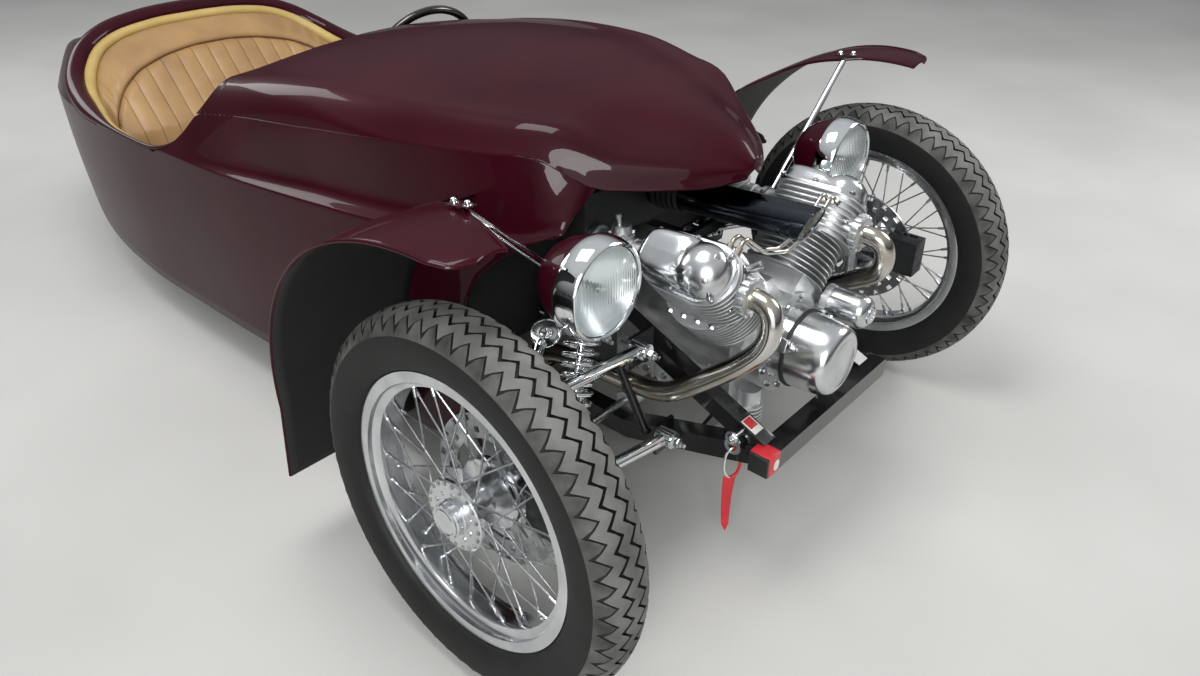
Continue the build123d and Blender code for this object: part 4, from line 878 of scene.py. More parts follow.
dashPanel = addPiece("dashPanel", crossWall(880, 600, 12), maroonPaint, 35, weld=True)
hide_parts("dashboard")
toeWide = innerOutline(400, 200, 9)[0][0]
toeBoard = prism([(330, 330), (469, 200.3), (469, 206.3), (336, 334)], 2 * toeWide)
toeTurn = Matrix(((0, 0, 1, -toeWide / 1000), (1, 0, 0, at(0, 0, 0).y), (0, 1, 0, 0), (0, 0, 0, 1)))
firewallLump = joined([crossWall(330, 330, 6, 9), moved(toeBoard, toeTurn)])
firewall = addPiece("firewall", firewallLump, blackUnderseal, weld=True)
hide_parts("bulkhead")
print("body shell done", len(bodyShell.data.polygons))

# tyres and wire wheels, made about local Z with Z outboard and then set on their axles
frontTyre = {
    "radius": 332.5, "half": 53, "widest": 284, "bead": 240, "rimHalf": 32, "seat": 226,
    "pitches": 62, "grooves": (-14, 14), "sipes": (-40, 40), "swing": 8.5, "groove": 4.2, "deep": 5.5,
    "sipe": 2.6, "sipeDeep": 2.4,
}
rearTyre = dict(
    frontTyre, radius=310, half=62, widest=262, bead=217, rimHalf=40, seat=203, pitches=58, grooves=(-17, 17),
    sipes=(-48, 48),
)
camber, axleHigh = math.radians(2.5), 332.27
rightWheel = turnTo(at(-650, 0, axleHigh), (-math.cos(camber), 0, math.sin(camber)), (0, 1, 0))
rearWheel = turnTo(at(0, 2130, 310), (-1, 0, 0), (0, 1, 0))


def tyreSection(tyre, across):  # outer radius of the round crown and shoulder at a distance from the middle
    share = min(abs(across) / tyre["half"], 1) ** (1 / 0.86)
    return tyre["widest"] + (tyre["radius"] - tyre["widest"]) * max(0, 1 - share ** 2) ** 0.34


def treadLines(tyre):
    # each line runs round the tyre: place across, depth, share of the zigzag, offset from the groove's middle
    lines = []
    for middle in tyre["grooves"]:
        wide = tyre["groove"] / 2
        lines += [
            (middle, 0, 1, -wide), (middle, tyre["deep"], 1, -wide * 0.8),
            (middle, tyre["deep"], 1, wide * 0.8), (middle, 0, 1, wide),
        ]
    for middle in tyre["sipes"]:
        lines += [
            (middle, 0, 1, -tyre["sipe"] / 2), (middle, tyre["sipeDeep"], 1, -0.9),
            (middle, tyre["sipeDeep"], 1, 0.9), (middle, 0, 1, tyre["sipe"] / 2),
        ]
    block = (tyre["grooves"][1] + tyre["sipes"][1]) / 2
    lines += [(0, 0, 1, 0), (-block, 0, 0.9, 0), (block, 0, 0.9, 0)]
    return sorted(lines, key=lambda line: (line[0], line[3]))


def tyreLump(tyre):
    pitch = 2 * math.pi / tyre["pitches"]
    run = tyre["radius"] * pitch
    swing = tyre["swing"]
    corners = [(0, -swing), (0.5 * run, swing)]
    half = tyre["half"]
    edge = half * 0.978
    wall = []
    for i in range(1, 8):  # shoulder to the widest place
        across = edge + (half - edge) * math.sin(math.pi / 2 * i / 7)
        wall.append((across, tyreSection(tyre, across)))
    for i in range(1, 9):  # from the widest place down to the bead, with a rim rib
        turn = math.pi / 2 * i / 8
        rib = 1.2 if i == 5 else 0
        wall.append((
            tyre["rimHalf"] + (half - tyre["rimHalf"]) * math.cos(turn) + rib,
            tyre["widest"] - (tyre["widest"] - tyre["bead"]) * math.sin(turn),
        ))
    wall.append((tyre["rimHalf"] - 1, tyre["seat"] + 1))
    lines = treadLines(tyre)
    rows = []
    for index in range(tyre["pitches"]):
        for leg in (0, 0.5, 1, 1.5):
            corner = int(leg)
            along0, across0 = corners[corner]
            along1, across1 = corners[1] if corner == 0 else (run, -swing)
            along, across = along0, across0
            before = Vector((run / 2, -2 * swing if corner == 0 else 2 * swing))
            after = Vector((along1 - along0, across1 - across0))
            if leg != corner:  # halfway along a leg of the zigzag
                along, across = (along0 + along1) / 2, (across0 + across1) / 2
                normal = Vector((-after.y, after.x)).normalized()
                reach = 0.8 if corner == 0 else 1.12
            else:
                one = Vector((-before.y, before.x)).normalized()
                two = Vector((-after.y, after.x)).normalized()
                normal = (one + two).normalized()
                reach = 1.22 / max(0.3, normal.dot(two))  # a little wider, as the moulded corner dots are
            row = [(along, -a, r) for a, r in reversed(wall)] + [(along, -edge, tyreSection(tyre, edge))]
            for middle, down, follow, offset in lines:
                where = middle + across * follow + offset * reach * normal.y
                shift = along + offset * reach * normal.x
                row.append((shift, where, tyreSection(tyre, where) - down))
            row += [(along, edge, tyreSection(tyre, edge))] + [(along, a, r) for a, r in wall]
            rows.append([polar(r, index * pitch + shift / tyre["radius"], where) for shift, where, r in row])
    return gridLump(rows, True), len(rows[0]), len(wall)


def addTyre(name, tyre, matrix, body, replaced, flip=False):
    lump, width, wallCount = tyreLump(tyre)
    lump = moved(lump, matrix)
    if flip:
        lump = mirroredLump(lump)
    piece = addPiece(name, lump, [sideRubber, treadRubber, shadedShoulderRubber], 38, body=body)
    lines = treadLines(tyre)
    grooveColumns = {i for i, line in enumerate(lines) if line[1] > 0}
    for face in piece.data.polygons:
        column = face.index % (width - 1)
        inTread = wallCount - 1 <= column < width - wallCount
        line = column - wallCount - 1
        inGroove = line in grooveColumns or line + 1 in grooveColumns
        face.material_index = 1 if inTread and not inGroove else 0
        # the outer tread blocks get the darker shoulder grey, which is painted shade
        if line in (-2, -1, len(lines) - 1, len(lines)):
            face.material_index = 2
    fixNormals(piece.data)
    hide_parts(replaced)


addTyre("tyreFrontRight", frontTyre, rightWheel, "front_right_wheel", "tyre_front_right")
addTyre("tyreFrontLeft", frontTyre, rightWheel, "front_left_wheel", "tyre_front_left", True)
addTyre("tyreRear", rearTyre, rearWheel, "rear_wheel", "tyre_rear")
print("tyres done")

wheelTable = {
    "front": {"seat": 226, "flange": 239, "half": 37, "well": 212},
    "rear": {"seat": 203, "flange": 216, "half": 45, "well": 190},
}
laced = {"spokes": 40, "hub": 56, "sweep": 38, "radius": 1.7}
nippleShape = [(0, -2), (4.4, -2), (4.8, 1.5), (3.2, 3), (3.0, 17), (2.0, 18), (0, 18)]


def wheelLumps(size):
    seat, flange, half, well = size["seat"], size["flange"], size["half"], size["well"]
    # shouldered alloy rim: raised bands beside the well and a rounded lip at each edge
    outer = [
        (seat - 5, half - 1), (seat - 5.5, half - 9), (seat - 9, half - 13), (well - 4, half - 16),
        (well - 5.5, half - 21), (well - 5.5, 8), (well - 5, 0),
    ]
    lip = [
        (seat, half - 5), (flange - 2, half - 5), (flange, half - 4), (flange + 1, half - 2), (flange, half),
        (flange - 3, half + 0.6),
    ]
    top = [(well, 0), (well, half - 24), (seat, half - 16)]
    right = top + lip + outer
    left = [(r, -a) for r, a in reversed(right)]
    rim = lathed(right + left[1:-1], 144, closed=True)
    hub = lathed(
        [
            (12.6, -42), (12.6, 42), (29, 42), (31, 40), (45, 39.5), (60, 38), (62, 36), (62, 31),
            (56, 30), (40, 27), (30, 22), (27, 14), (27, -14), (30, -22), (42, -29), (58, -31), (62, -33),
            (62, -38), (58, -42),
        ],
        72, closed=True,
    )
    steel, alloy = [], [rim, hub]
    head = [(0, 0), (3.6, 0), (3.2, 1.6), (0, 2.2)]
    for i, turn in enumerate(turnsOf(laced["spokes"])):
        side = 1 if i % 2 == 0 else -1
        lean = 1 if i % 4 < 2 else -1
        start = polar(laced["hub"], turn, side * 34)
        end = polar(well - 6, turn + lean * math.radians(laced["sweep"]), side * 9)
        steel.append(rodLump(start, end, laced["radius"], 8))
        steel.append(turned(nippleShape, 10, end, start - end))
        steel.append(turned(head, 8, polar(laced["hub"], turn, side * 38.5), (0, 0, side)))
    return alloy, steel


disc = {
    "rings": (48, 60, 72, 84, 92, 102, 112, 122, 132, 135), "steps": 120, "foot": -52, "thick": 5,
    "arms": 7, "armPitch": 20,
}


def discLump():
    # brake disc: rings of small faces, with windows in the carrier and holes in the band left out
    bm = bmesh.new()
    rings, steps = disc["rings"], disc["steps"]
    grid = [[bm.verts.new(polar(radius, turn, disc["foot"])) for turn in turnsOf(steps)] for radius in rings]
    for ring in range(len(rings) - 1):
        for i in range(steps):
            isWindow = ring in (1, 2, 3) and i % disc["armPitch"] >= disc["arms"]
            isHole = (ring == 5 and i % 6 in (0, 1)) or (ring == 7 and i % 6 in (3, 4))
            if not (isWindow or isHole):
                j = (i + 1) % steps
                bm.faces.new((grid[ring][i], grid[ring][j], grid[ring + 1][j], grid[ring + 1][i]))
    raised = bmesh.ops.extrude_face_region(bm, geom=bm.faces[:])
    top = [v for v in raised["geom"] if isinstance(v, bmesh.types.BMVert)]
    bmesh.ops.translate(bm, vec=(0, 0, disc["thick"] / 1000), verts=top)
    bmesh.ops.recalc_face_normals(bm, faces=bm.faces)
    return bmeshLump(bm)


def addWheel(name, size, matrix, body, replaced, flip=False, isFront=True):
    alloy, steel = wheelLumps(size)
    if isFront:  # hub cap with its screws, and the brake disc on its carrier
        alloy.append(
            lathed([(29, 42), (29, 52), (27, 54), (27, 57), (24, 58), (22, 56), (20, 57.5), (0, 58)], 48)
        )
        for turn in turnsOf(10, 0.5):
            alloy.append(turned([(0, 0), (3.4, 0), (3.0, 2.6), (0, 3)], 10, polar(40, turn, 39.5), (0, 0, 1)))
        steel.append(discLump())
        alloy.append(lathed([(56, -52), (56, -41), (48, -41), (48, -52)], 48, closed=True))
    for suffix, lumps, material in (("Alloy", alloy, polishedAluminium), ("Steel", steel, brightSteel)):
        lump = moved(joined(lumps), matrix)
        if flip:
            lump = mirroredLump(lump)
        piece = addPiece(name + suffix, lump, material, 32, body=body)
        fixNormals(piece.data)
        if suffix == "Alloy":
            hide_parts(replaced)


addWheel("wheelFrontRight", wheelTable["front"], rightWheel, "front_right_wheel", "wheel_front_right")
addWheel("wheelFrontLeft", wheelTable["front"], rightWheel, "front_left_wheel", "wheel_front_left", True)
addWheel("wheelRear", wheelTable["rear"], rearWheel, "rear_wheel", "wheel_rear", isFront=False)
print("wheels done")

# mudguards: a thin rolled sheet bent over the wheel, with a bead at its edge
guardRadius, guardLow, guardLean = 450, 160, 28
guardTip, guardBulge, guardColumns = -58, 12, 15


def circleThrough(a, b, c):  # centre and radius
    twice = 2 * (a[0] * (b[1] - c[1]) + b[0] * (c[1] - a[1]) + c[0] * (a[1] - b[1]))
    s, t, u = (p[0] ** 2 + p[1] ** 2 for p in (a, b, c))
    x = (s * (b[1] - c[1]) + t * (c[1] - a[1]) + u * (a[1] - b[1])) / twice
    y = (s * (c[0] - b[0]) + t * (a[0] - c[0]) + u * (b[0] - a[0])) / twice
    return x, y, math.hypot(a[0] - x, a[1] - y)


bulgeTurn = math.radians(40)  # where the sheet stands off the wheel by the bulge
archBehind, archHigh, archRadius = circleThrough(
    (guardTip, math.sqrt(guardRadius ** 2 - guardTip ** 2)),
    ((guardRadius + guardBulge) * math.sin(bulgeTurn), (guardRadius + guardBulge) * math.cos(bulgeTurn)),
    (guardRadius, 0),
)
archHigh += axleHigh
# plan of the sheet: behind, x of its outer and of its inner edge
guardOuter = [
    (-64, -610), (-58, -650), (-50, -676), (-42, -686), (-15, -698), (60, -704), (200, -712), (520, -712),
]
guardInner = [(-64, -600), (50, -567), (88, -543), (180, -542), (235, -535), (262, -440), (275, -382)]
guardRear = -418  # inner edge behind the body's front corner


def bodySideAt(behind, z):  # half width of the body at a height
    return bodyPoint(behind, between(0.0, 6.0, lambda place: bodyPoint(behind, place)[1] < z, 24)[0])[0]


def guardLump():
    path = []
    start = math.atan2(guardTip - archBehind, math.sqrt(archRadius ** 2 - (guardTip - archBehind) ** 2))
    stop = math.atan2(guardRadius - archBehind, axleHigh - archHigh)
    for i in range(71):
        turn = start + (stop - start) * (i / 70) ** 1.35
        path.append((archBehind + archRadius * math.sin(turn), archHigh + archRadius * math.cos(turn), turn))
    for i in range(1, 13):
        share = i / 12
        path.append(
            (guardRadius + guardLean * share, axleHigh + (guardLow - axleHigh) * share, math.pi / 2 + 0.16)
        )
    rows = []
    for behind, z, turn in path:
        outer = readLine(guardOuter, behind)
        inner = readLine(guardInner, behind) if behind < 275 else guardRear
        if behind > 240 and z < 760:
            inner = min(inner, -bodySideAt(behind, z) - 1.5) if behind < 300 else -bodySideAt(behind, z) - 1.5
        inner = max(inner, outer + 2) if inner > outer else outer + 2
        row = []
        for share in shares(guardColumns - 1):
            x = outer + (inner - outer) * share
            crown = (7 * (4 * share * (1 - share)) - 5) * ramped((guardRadius - behind) / 120) - 2.5
            flat = turn if behind < guardRadius else math.pi / 2
            row.append(at(x, behind + crown * math.sin(flat), z + crown * math.cos(flat)))
        rows.append(row)
    return gridLump(rows)


for guardName, isLeft in (("mudguardRight", False), ("mudguardLeft", True)):
    lump = guardLump()
    if isLeft:
        lump = mirroredLump(lump)
    guard = addPiece(guardName, lump, [maroonPaint, blackUnderseal], 40, weld=True)
    if sum(p.normal.z * p.area for p in guard.data.polygons) < 0:
        guard.data.flip_normals()
    addSheetWall(guard, 3.5)
    points = lump[0]
    innerEdge = [p for p in points[guardColumns - 1::guardColumns] if p.y < at(0, 235, 0).y]
    edges = [points[::guardColumns], innerEdge, points[:guardColumns]]
    bead = joined([tubeLump(edge, 3.2, 8, smooth=False) for edge in edges])
    addPiece(guardName + "Bead", bead, maroonPaint, 40)
    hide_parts("mudguard_left" if isLeft else "mudguard_right")
# stay plates on the mudguards, each held by two domed nuts
stayFoot = {"x": -556, "behind": 81, "nutPitch": 30}
domedNut = [(0, 0), (7.5, 0), (7.5, 1.2), (4.8, 1.2), (4.6, 5), (3.6, 7), (1.8, 8.1), (0, 8.4)]


def onArch(behind):  # place on the outer face of the sheet, and the way out from it
    out = Vector(
        (0, behind - archBehind, math.sqrt(archRadius ** 2 - (behind - archBehind) ** 2))
    ).normalized()
    return at(stayFoot["x"], archBehind, archHigh) + out * (archRadius + 0.5) / 1000, out


seat, out = onArch(stayFoot["behind"])
plate = moved(roundedBox((20, 48, 2.4), 1), turnTo(seat, out, (1, 0, 0)))
nuts = []
for way in (-0.5, 0.5):
    seat, out = onArch(stayFoot["behind"] + way * stayFoot["nutPitch"])
    nuts.append(turned(domedNut, 20, seat + out * 0.0012, out))
addPiece("stayPlates", bothSides([plate]), maroonPaint, 34)
addPiece("stayNuts", bothSides(nuts), chromePlate, 34)
print("mudguards done")

# engine: polished covers, bolts, bands and small fittings on the castings
engine = {"crank": 395, "angle": 45, "behind": -78, "stagger": 8, "coverFoot": 292.3}
sides = {"Right": -1, "Left": 1}


def cylinderMatrix(side):  # local Z runs up the cylinder, local X to the rear
    lean = math.radians(engine["angle"])
    place = at(0, engine["behind"] - side * engine["stagger"], engine["crank"])
    return turnTo(place, (side * math.sin(lean), 0, math.cos(lean)), (0, 1, 0))


def coverOutline(frontRadius, rear, half, count=96):
    # plan of a cover or fin: a half circle at the front, a box with round corners behind
    centre = -36
    points = []
    for turn in turnsOf(count):
        c, s = math.cos(turn), math.sin(turn)
        if c < 0:
            points.append((centre + frontRadius * c, frontRadius * s))
        else:
            power = 5  # the higher, the squarer the corners
            edge = (abs(c) ** power + abs(s) ** power) ** (-1 / power)
            points.append(
                (
                    centre + (rear - centre) * c * edge,
                    (frontRadius + (half - frontRadius) * c * edge) * s * edge,
                ),
            )
    return points


def coverLump():
    # polished rocker cover: a flat topped box behind, a round dome ahead and a crease between them
    rings = 30
    outline = coverOutline(50, 86, 47)
    vertices, faces = [], []
    turns = len(outline)
    for r in range(rings + 1):
        reach = math.sin(math.pi / 2 * r / rings) if r else 0.0
        for x, y in outline:
            spine = min(max(x, -36), 52)
            px, py = spine + (x - spine) * reach, y * reach
            box = 38 * (1 - reach ** 6) ** 0.45 - 4 * max(0, py / 50)
            box *= 1 / (1 + math.exp(-(px + 10) / 5)) * 0.55 + 0.45
            far = math.hypot(px + 36, py) / 49
            dome = 47 * math.sqrt(max(0, 1 - far ** 2)) ** 0.9 if far < 1 else 0
            high = 0.5 * (box + dome + math.sqrt((box - dome) ** 2 + 9)) * min(1, (1 - reach) * 9) + 7
            vertices.append(Vector((px / 1000, py / 1000, (engine["coverFoot"] + high) / 1000)))
    for r in range(rings):
        for t in range(turns):
            u = (t + 1) % turns
            a, b = r * turns, (r + 1) * turns
            faces.append([a + t, b + t, b + u, a + u])
    flange = prism(coverOutline(54, 89, 51), 8, 1.6)
    return joined([(vertices, faces), moved(flange, Matrix.Translation((0, 0, engine["coverFoot"] / 1000)))])


def headLump():
    # finned head: plates with round fronts, stacked round a core, on the finned barrel
    lumps = [moved(prism(coverOutline(48, 76, 42), 84), Matrix.Translation((0, 0, 0.208)))]
    for i in range(8):
        plateHigh = 208 + i * 11.4
        grow = 9 - 0.7 * i
        plate = prism(coverOutline(53 + grow, 86, 52 + grow * 0.3), 3.4, 0.8, 1)
        lumps.append(moved(plate, Matrix.Translation((0, 0, plateHigh / 1000))))
    profile = [(0, 118.3)]
    for i in range(9):
        low = 118.3 + i * 10.7
        profile += [(52, low), (81, low + 0.6), (82, low + 1.6), (81, low + 3), (52, low + 4)]
    profile += [(52, 209), (0, 209)]
    lumps.append(lathed(profile, 96))
    for shape, x, z, way in (
        ([(0, 0), (24, 0), (26, 8), (29, 20), (29, 50), (0, 50)], -0.0923, 0.246, 1),  # exhaust port
        ([(0, 0), (24, 0), (24, 12), (30, 24), (30, 50), (0, 50)], 0.107, 0.254, -1),  # inlet port
    ):
        lumps.append(turned(shape, 48, (x, 0, z), (way, 0, 0)))
    return joined(lumps)


def acornLump(place, direction, size=6):  # domed nut on a washer
    dome = [
        (0, 0), (size * 1.5, 0), (size * 1.5, 1.4), (size, 1.4), (size, size * 0.9),
        (size * 0.8, size * 1.35), (size * 0.4, size * 1.65), (0, size * 1.72),
    ]
    return turned(dome, 20, place, direction)


for sideName, side in sides.items():
    head = cylinderMatrix(side)
    cover = addPiece(
        "rockerCover" + sideName, moved(coverLump(), head), polishedAluminium, 40
    )
    finned = addPiece("finnedHead" + sideName, moved(headLump(), head), castAluminium, 30)
    if side < 0:
        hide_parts("valve_covers")
        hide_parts("cylinders")
    fittings = []
    turnedUp = head.to_3x3()
    coverFoot = engine["coverFoot"]
    for x, y in ((-70, -40), (-70, 40), (6, -48), (6, 48), (80, -40), (80, 40)):
        place = head @ Vector((x / 1000, y / 1000, (coverFoot + 8) / 1000))
        fittings.append(acornLump(place, turnedUp @ Vector((0, 0, 1)), 4.6))
    for x, y in ((-62, -20), (-62, 20)):  # capped screws on the front dome
        place = head @ Vector((x / 1000, y / 1000, (coverFoot + 38) / 1000))
        fittings.append(boltLump(place, turnedUp @ Vector((-0.55, y / 45, 1)), 9, 7))
    for x in (-45, -15, 15, 45):  # head stud nuts between the fins, on the outer side
        place = head @ Vector((x / 1000, 0.063, 0.2055))
        fittings.append(boltLump(place, turnedUp @ Vector((0, 1, 0)), 10, 5))
    # plug with its cap, in the front of the head beside the port
    plug = head @ Vector((-0.078, -0.032, 0.262))
    plugWay = turnedUp @ Vector((-0.8, -0.6, 0.15))
    plugShape = [(0, 0), (10, 0), (10, 8), (7, 9), (6, 14), (8, 15), (8, 34), (6, 37), (0, 38)]
    fittings.append(turned(plugShape, 20, plug, plugWay))
    # nuts on the port ring's studs
    for y in (-34, 34):
        place = head @ Vector((-0.0785, y / 1000, 0.246))
        fittings.append(acornLump(place, turnedUp @ Vector((-1, 0, 0)), 5))
    addPiece("headFittings" + sideName, joined(fittings), brightSteel, 32)
print("rocker covers done")

crank = engine["crank"]
toFront = (0, -1, 0)
alternatorShape = [
    (0, 0), (75, 0), (75, 3), (74, 5), (73.6, 26), (73.2, 34), (72.4, 60), (70.6, 82), (68, 98),
    (64.6, 106.5), (59, 111.6), (53, 113.6), (47, 114.2), (45.5, 113.4), (44, 114.2), (0, 115.2),
]
casePlace = at(0, -160.3, crank)
alternatorLump = turned(alternatorShape, 96, casePlace, toFront)
alternator = addPiece("alternatorCover", alternatorLump, polishedAluminium, 30)
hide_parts("end_covers")
# black rubber band in the joint, drawn tight by two clamp screws
bandShape = [(73, 26), (76.4, 26.6), (76.8, 30), (76.4, 33.4), (73, 34)]
addPiece("alternatorBand", turned(bandShape, 96, casePlace, toFront), mouldedPlastic, 40)
clamps = []
clampWays = [(-math.sin(turn), 0, math.cos(turn)) for turn in (math.radians(62), math.radians(-58))]
for clampWay in clampWays + [(0.9, 0, 0.42)]:
    way = Vector(clampWay).normalized()
    seat = at(0, -190, crank) + way * 0.0795
    clamps.append(moved(roundedBox((17, 26, 11), 2.5), turnTo(seat, way, (0, 1, 0))))
    clamps.append(boltLump(seat + Vector((0, -0.013, 0)), (0, -1, 0), 8, 7))
addPiece("alternatorClamps", joined(clamps), brightSteel, 32)

starterShape = [
    (0, 0), (34, 0), (34, 40), (33.4, 58), (31, 67), (26, 73), (20, 76), (17, 77), (16.5, 80), (14.5, 81.6),
    (9, 81.8), (8.4, 79.5), (0, 79.5),
]
starterLump = turned(starterShape, 72, at(126, -180.3, 436), toFront)
addPiece("roundCover", starterLump, polishedAluminium, 30)


def ringScrews(turns, radius, behind, isLeftOut):  # screws on a circle round the crankshaft's line, mm
    places = [(radius * math.sin(turn), radius * math.cos(turn)) for turn in turns]
    return [boltLump(at(x, behind, crank + z), toFront, 9, 6) for x, z in places if not isLeftOut(x, z)]


caseBolts = ringScrews(turnsOf(12, 0.5), 88, -160, lambda x, z: x > 60 and z > -20)  # round the timing case
caseBolts += ringScrews(turnsOf(14), 115, 175, lambda x, z: z < -90)  # round the bell housing's flange
for side in (-1, 1):
    for behind in (-84, -37, 9, 56, 102, 149):
        caseBolts.append(boltLump(at(side * 95, behind, 268), (side, 0, 0), 9, 5))
    union = [(0, 0), (17, 0), (17, 5), (12, 6), (11, 14), (0, 15)]  # oil union
    caseBolts.append(turned(union, 6, at(side * 95, 118, 330), (side, 0, 0)))
addPiece("caseScrews", joined(caseBolts), brightSteel, 30)
# split line of the two case halves and its cast webs
webs = []
for side in (-1, 1):
    for fore, aft, high in ((-104, -72, 366), (-24, 12, 372), (68, 104, 372), (140, 174, 366)):
        start, end = at(side * 99, fore, high - 8), at(side * 99, aft, high - 60)
        webs.append(tubeLump([start, end], 2.6, 8, smooth=False))
    webs.append(tubeLump([at(side * 100, -104, 352), at(side * 100, 174, 352)], 3.4, 8, smooth=False))
addPiece("caseWebs", joined(webs), castAluminium, 40)

# carburettors: body, float bowl with its screws, dashpot cap, throttle lever and rubber sleeve
carbParts, rubberParts, brassParts = [], [], []
for sideName, side in sides.items():
    head = cylinderMatrix(side)
    port = head @ Vector((0.1073, 0, 0.254))
    end = Vector((port.x, frontAxleY + 0.1657, port.z))
    way = end - port
    middle = port + way * 0.5
    long = way.length * 1000
    body = [
        (0, 0), (25, 0), (25, 10), (21, 12), (21, 30), (24, 32), (24, long - 30), (20, long - 26),
        (20, long - 14), (24, long - 12), (24, long), (0, long),
    ]
    carbParts.append(turned(body, 40, port, way))
    endBand = end - way.normalized() * 0.0125
    rubberParts.append(turned([(25.2, -1), (27, 0), (27, 10), (25.2, 11)], 40, port, way))
    rubberParts.append(turned([(24.5, 0), (26.5, 1), (26.5, 11), (24.5, 12)], 40, endBand, way))
    bowl = [
        (0, -52), (14, -52), (18, -50), (20, -44), (21, -30), (23, -28), (23, -24), (21, -22), (21, 22),
        (24, 24), (24, 29), (20, 30), (18, 36), (17, 44), (12, 46), (5, 46.5), (0, 46.5),
    ]
    carbParts.append(moved(lathed(bowl, 40), Matrix.Translation(middle)))
    for turn in turnsOf(4, 0.5):
        carbParts.append(boltLump(middle + polar(21, turn, 29), (0, 0, 1), 6, 4, False))
    dashpotCap = [(0, 0), (4, 0), (4, 12), (5.5, 13), (5.5, 20), (3, 21), (0, 21)]
    carbParts.append(turned(dashpotCap, 12, middle + Vector((side * 0.006, 0, 0.046)), (side * 0.1, 0.1, 1)))
    drain = [(0, 0), (6, 0), (6, 5), (4, 6), (4, 12), (0, 12)]
    brassParts.append(turned(drain, 6, middle + Vector((0, 0, -0.052)), (0, 0, -1)))
    carbParts.append(boxAt((6, 30, 10), 1.5, middle + Vector((side * 0.025, 0.004, 0.004))))
    carbParts.append(boltLump(middle + Vector((side * 0.028, 0.01, 0.004)), (side, 0, 0), 8, 4))
carbs = addPiece("carburettorBodies", joined(carbParts), castAluminium, 34)
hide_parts("carburettors")
addPiece("carburettorClamps", joined(rubberParts + brassParts), brightSteel, 34)

# intake tube's thin rolled rim and its polished end plate
slant = Vector((0, -1, -0.45)).normalized()
tubeEnd = at(0, -174, 642)
slantCut = 1.097  # the tube's end is cut on the slant, which makes it this much taller than wide
rimRing = [(31.5, -1.6), (34, -1.6), (34.6, 0), (34, 1.4), (31.5, 1.4)]
ringLump = stretched(lathed(rimRing, 64, closed=True), 1, slantCut)
plate = stretched(lathed([(0, 0.4), (29, 0.4), (31.8, 0.0), (31.8, -2), (0, -2)], 64), 1, slantCut)
slantMatrix = turnTo(tubeEnd + slant * 0.0012, slant, (1, 0, 0))
addPiece("intakeRim", moved(ringLump, slantMatrix), smokedTube, 40)
addPiece("intakeEnd", moved(plate, slantMatrix), stainlessTube, 40)
# ribbed black duct where the tube meets the air box
ribs = []
for i in range(5):
    place = at(0, 96 + i * 13, 622 - i * 0.9)
    ribs.append(turned([(33, -3), (38, -2.2), (38, 2.2), (33, 3)], 48, place, (0, -1, 0.07), closed=True))
addPiece("intakeDuct", joined(ribs), mouldedPlastic, 40)
print("engine fittings done")

# exhausts: bent tubes from toothed port rings to the silencers
exhaustRoutes = {  # distance from the middle, behind, height
    "Right": [
        (174, -162, 569), (175, -190, 569), (177, -212, 564), (180, -223, 548), (184, -226, 524),
        (188, -220, 499), (193, -204, 474), (200, -170, 438), (206, -132, 406), (212, -101, 380),
        (217, -68, 354), (220, -40, 339), (222, -6, 331), (222, 60, 326), (222, 160, 319), (223, 250, 309),
        (230, 310, 262), (240, 360, 215),
    ],
    "Left": [
        (174, -178, 569), (175, -206, 569), (178, -228, 564), (182, -239, 548), (187, -241, 524),
        (192, -235, 502), (199, -218, 480), (208, -178, 453), (217, -134, 424), (226, -92, 397),
        (229, -50, 380), (226, 30, 356), (222, 120, 330), (222, 160, 322), (222, 250, 310), (230, 310, 262),
        (240, 360, 215),
    ],
}
silencerRun = [(250, 425, 168), (258, 474, 152), (262, 500, 150), (262, 522, 150)]
ringShape = [(19, 0), (25, 0), (25, 2), (31, 2), (31, 17), (28, 19), (24, 20), (19, 20)]
for sideName, side in sides.items():
    pipe = [at(side * x, behind, z) for x, behind, z in exhaustRoutes[sideName] + silencerRun]
    port = cylinderMatrix(side) @ Vector((-0.0926, 0, 0.246))
    tubes = [tubeLump(pipe, 19, 28)]
    silencer = [
        (19, -4), (24, 0), (34, 16), (38, 26), (38, 30), (37, 32), (37, 413), (38, 415), (38, 419), (34, 430),
        (24, 445), (20, 449), (20, 545), (17.5, 545), (17.5, 470), (0, 470),
    ]
    tubes.append(turned(silencer, 56, at(side * 262, 515, 150), (0, 1, 0)))
    exhaust = addPiece("exhaust" + sideName, joined(tubes), stainlessTube, 40)
    if side < 0:
        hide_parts("exhausts")
    ringParts = [lathed(ringShape, 48, closed=True)]
    for turn in turnsOf(14):
        tooth = roundedBox((7, 9, 15), 1)
        ringParts.append(
            moved(tooth, Matrix.Rotation(turn, 4, "Z") @ Matrix.Translation((0.0325, 0, 0.0095)))
        )
    addPiece(
        "portRing" + sideName, moved(joined(ringParts), turnTo(port, (0, -1, 0))), castAluminium,
        34,
    )
    hangers = []
    for behind in (560, 900):
        band = [(37.4, 0), (39.4, 0), (39.4, 16), (37.4, 16)]
        hangers.append(turned(band, 48, at(side * 262, behind, 150), (0, 1, 0), closed=True))
        hangers.append(boxAt((4, 16, 24), 1, at(side * 236, behind + 8, 172)))
        hangers.append(boltLump(at(side * 238, behind + 8, 176), (side, 0, 0), 10, 6))
    addPiece("silencerBands" + sideName, joined(hangers), brightSteel, 34)
print("exhausts done")

for sideName in ("right", "left"):
    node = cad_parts["knuckle_" + sideName]
    node.data.materials.append(blackCasting)
    for face in node.data.polygons:
        centre = node.matrix_world @ face.center
        if centre.y < frontAxleY - 0.062:
            face.material_index = 1
print("node finishes done")

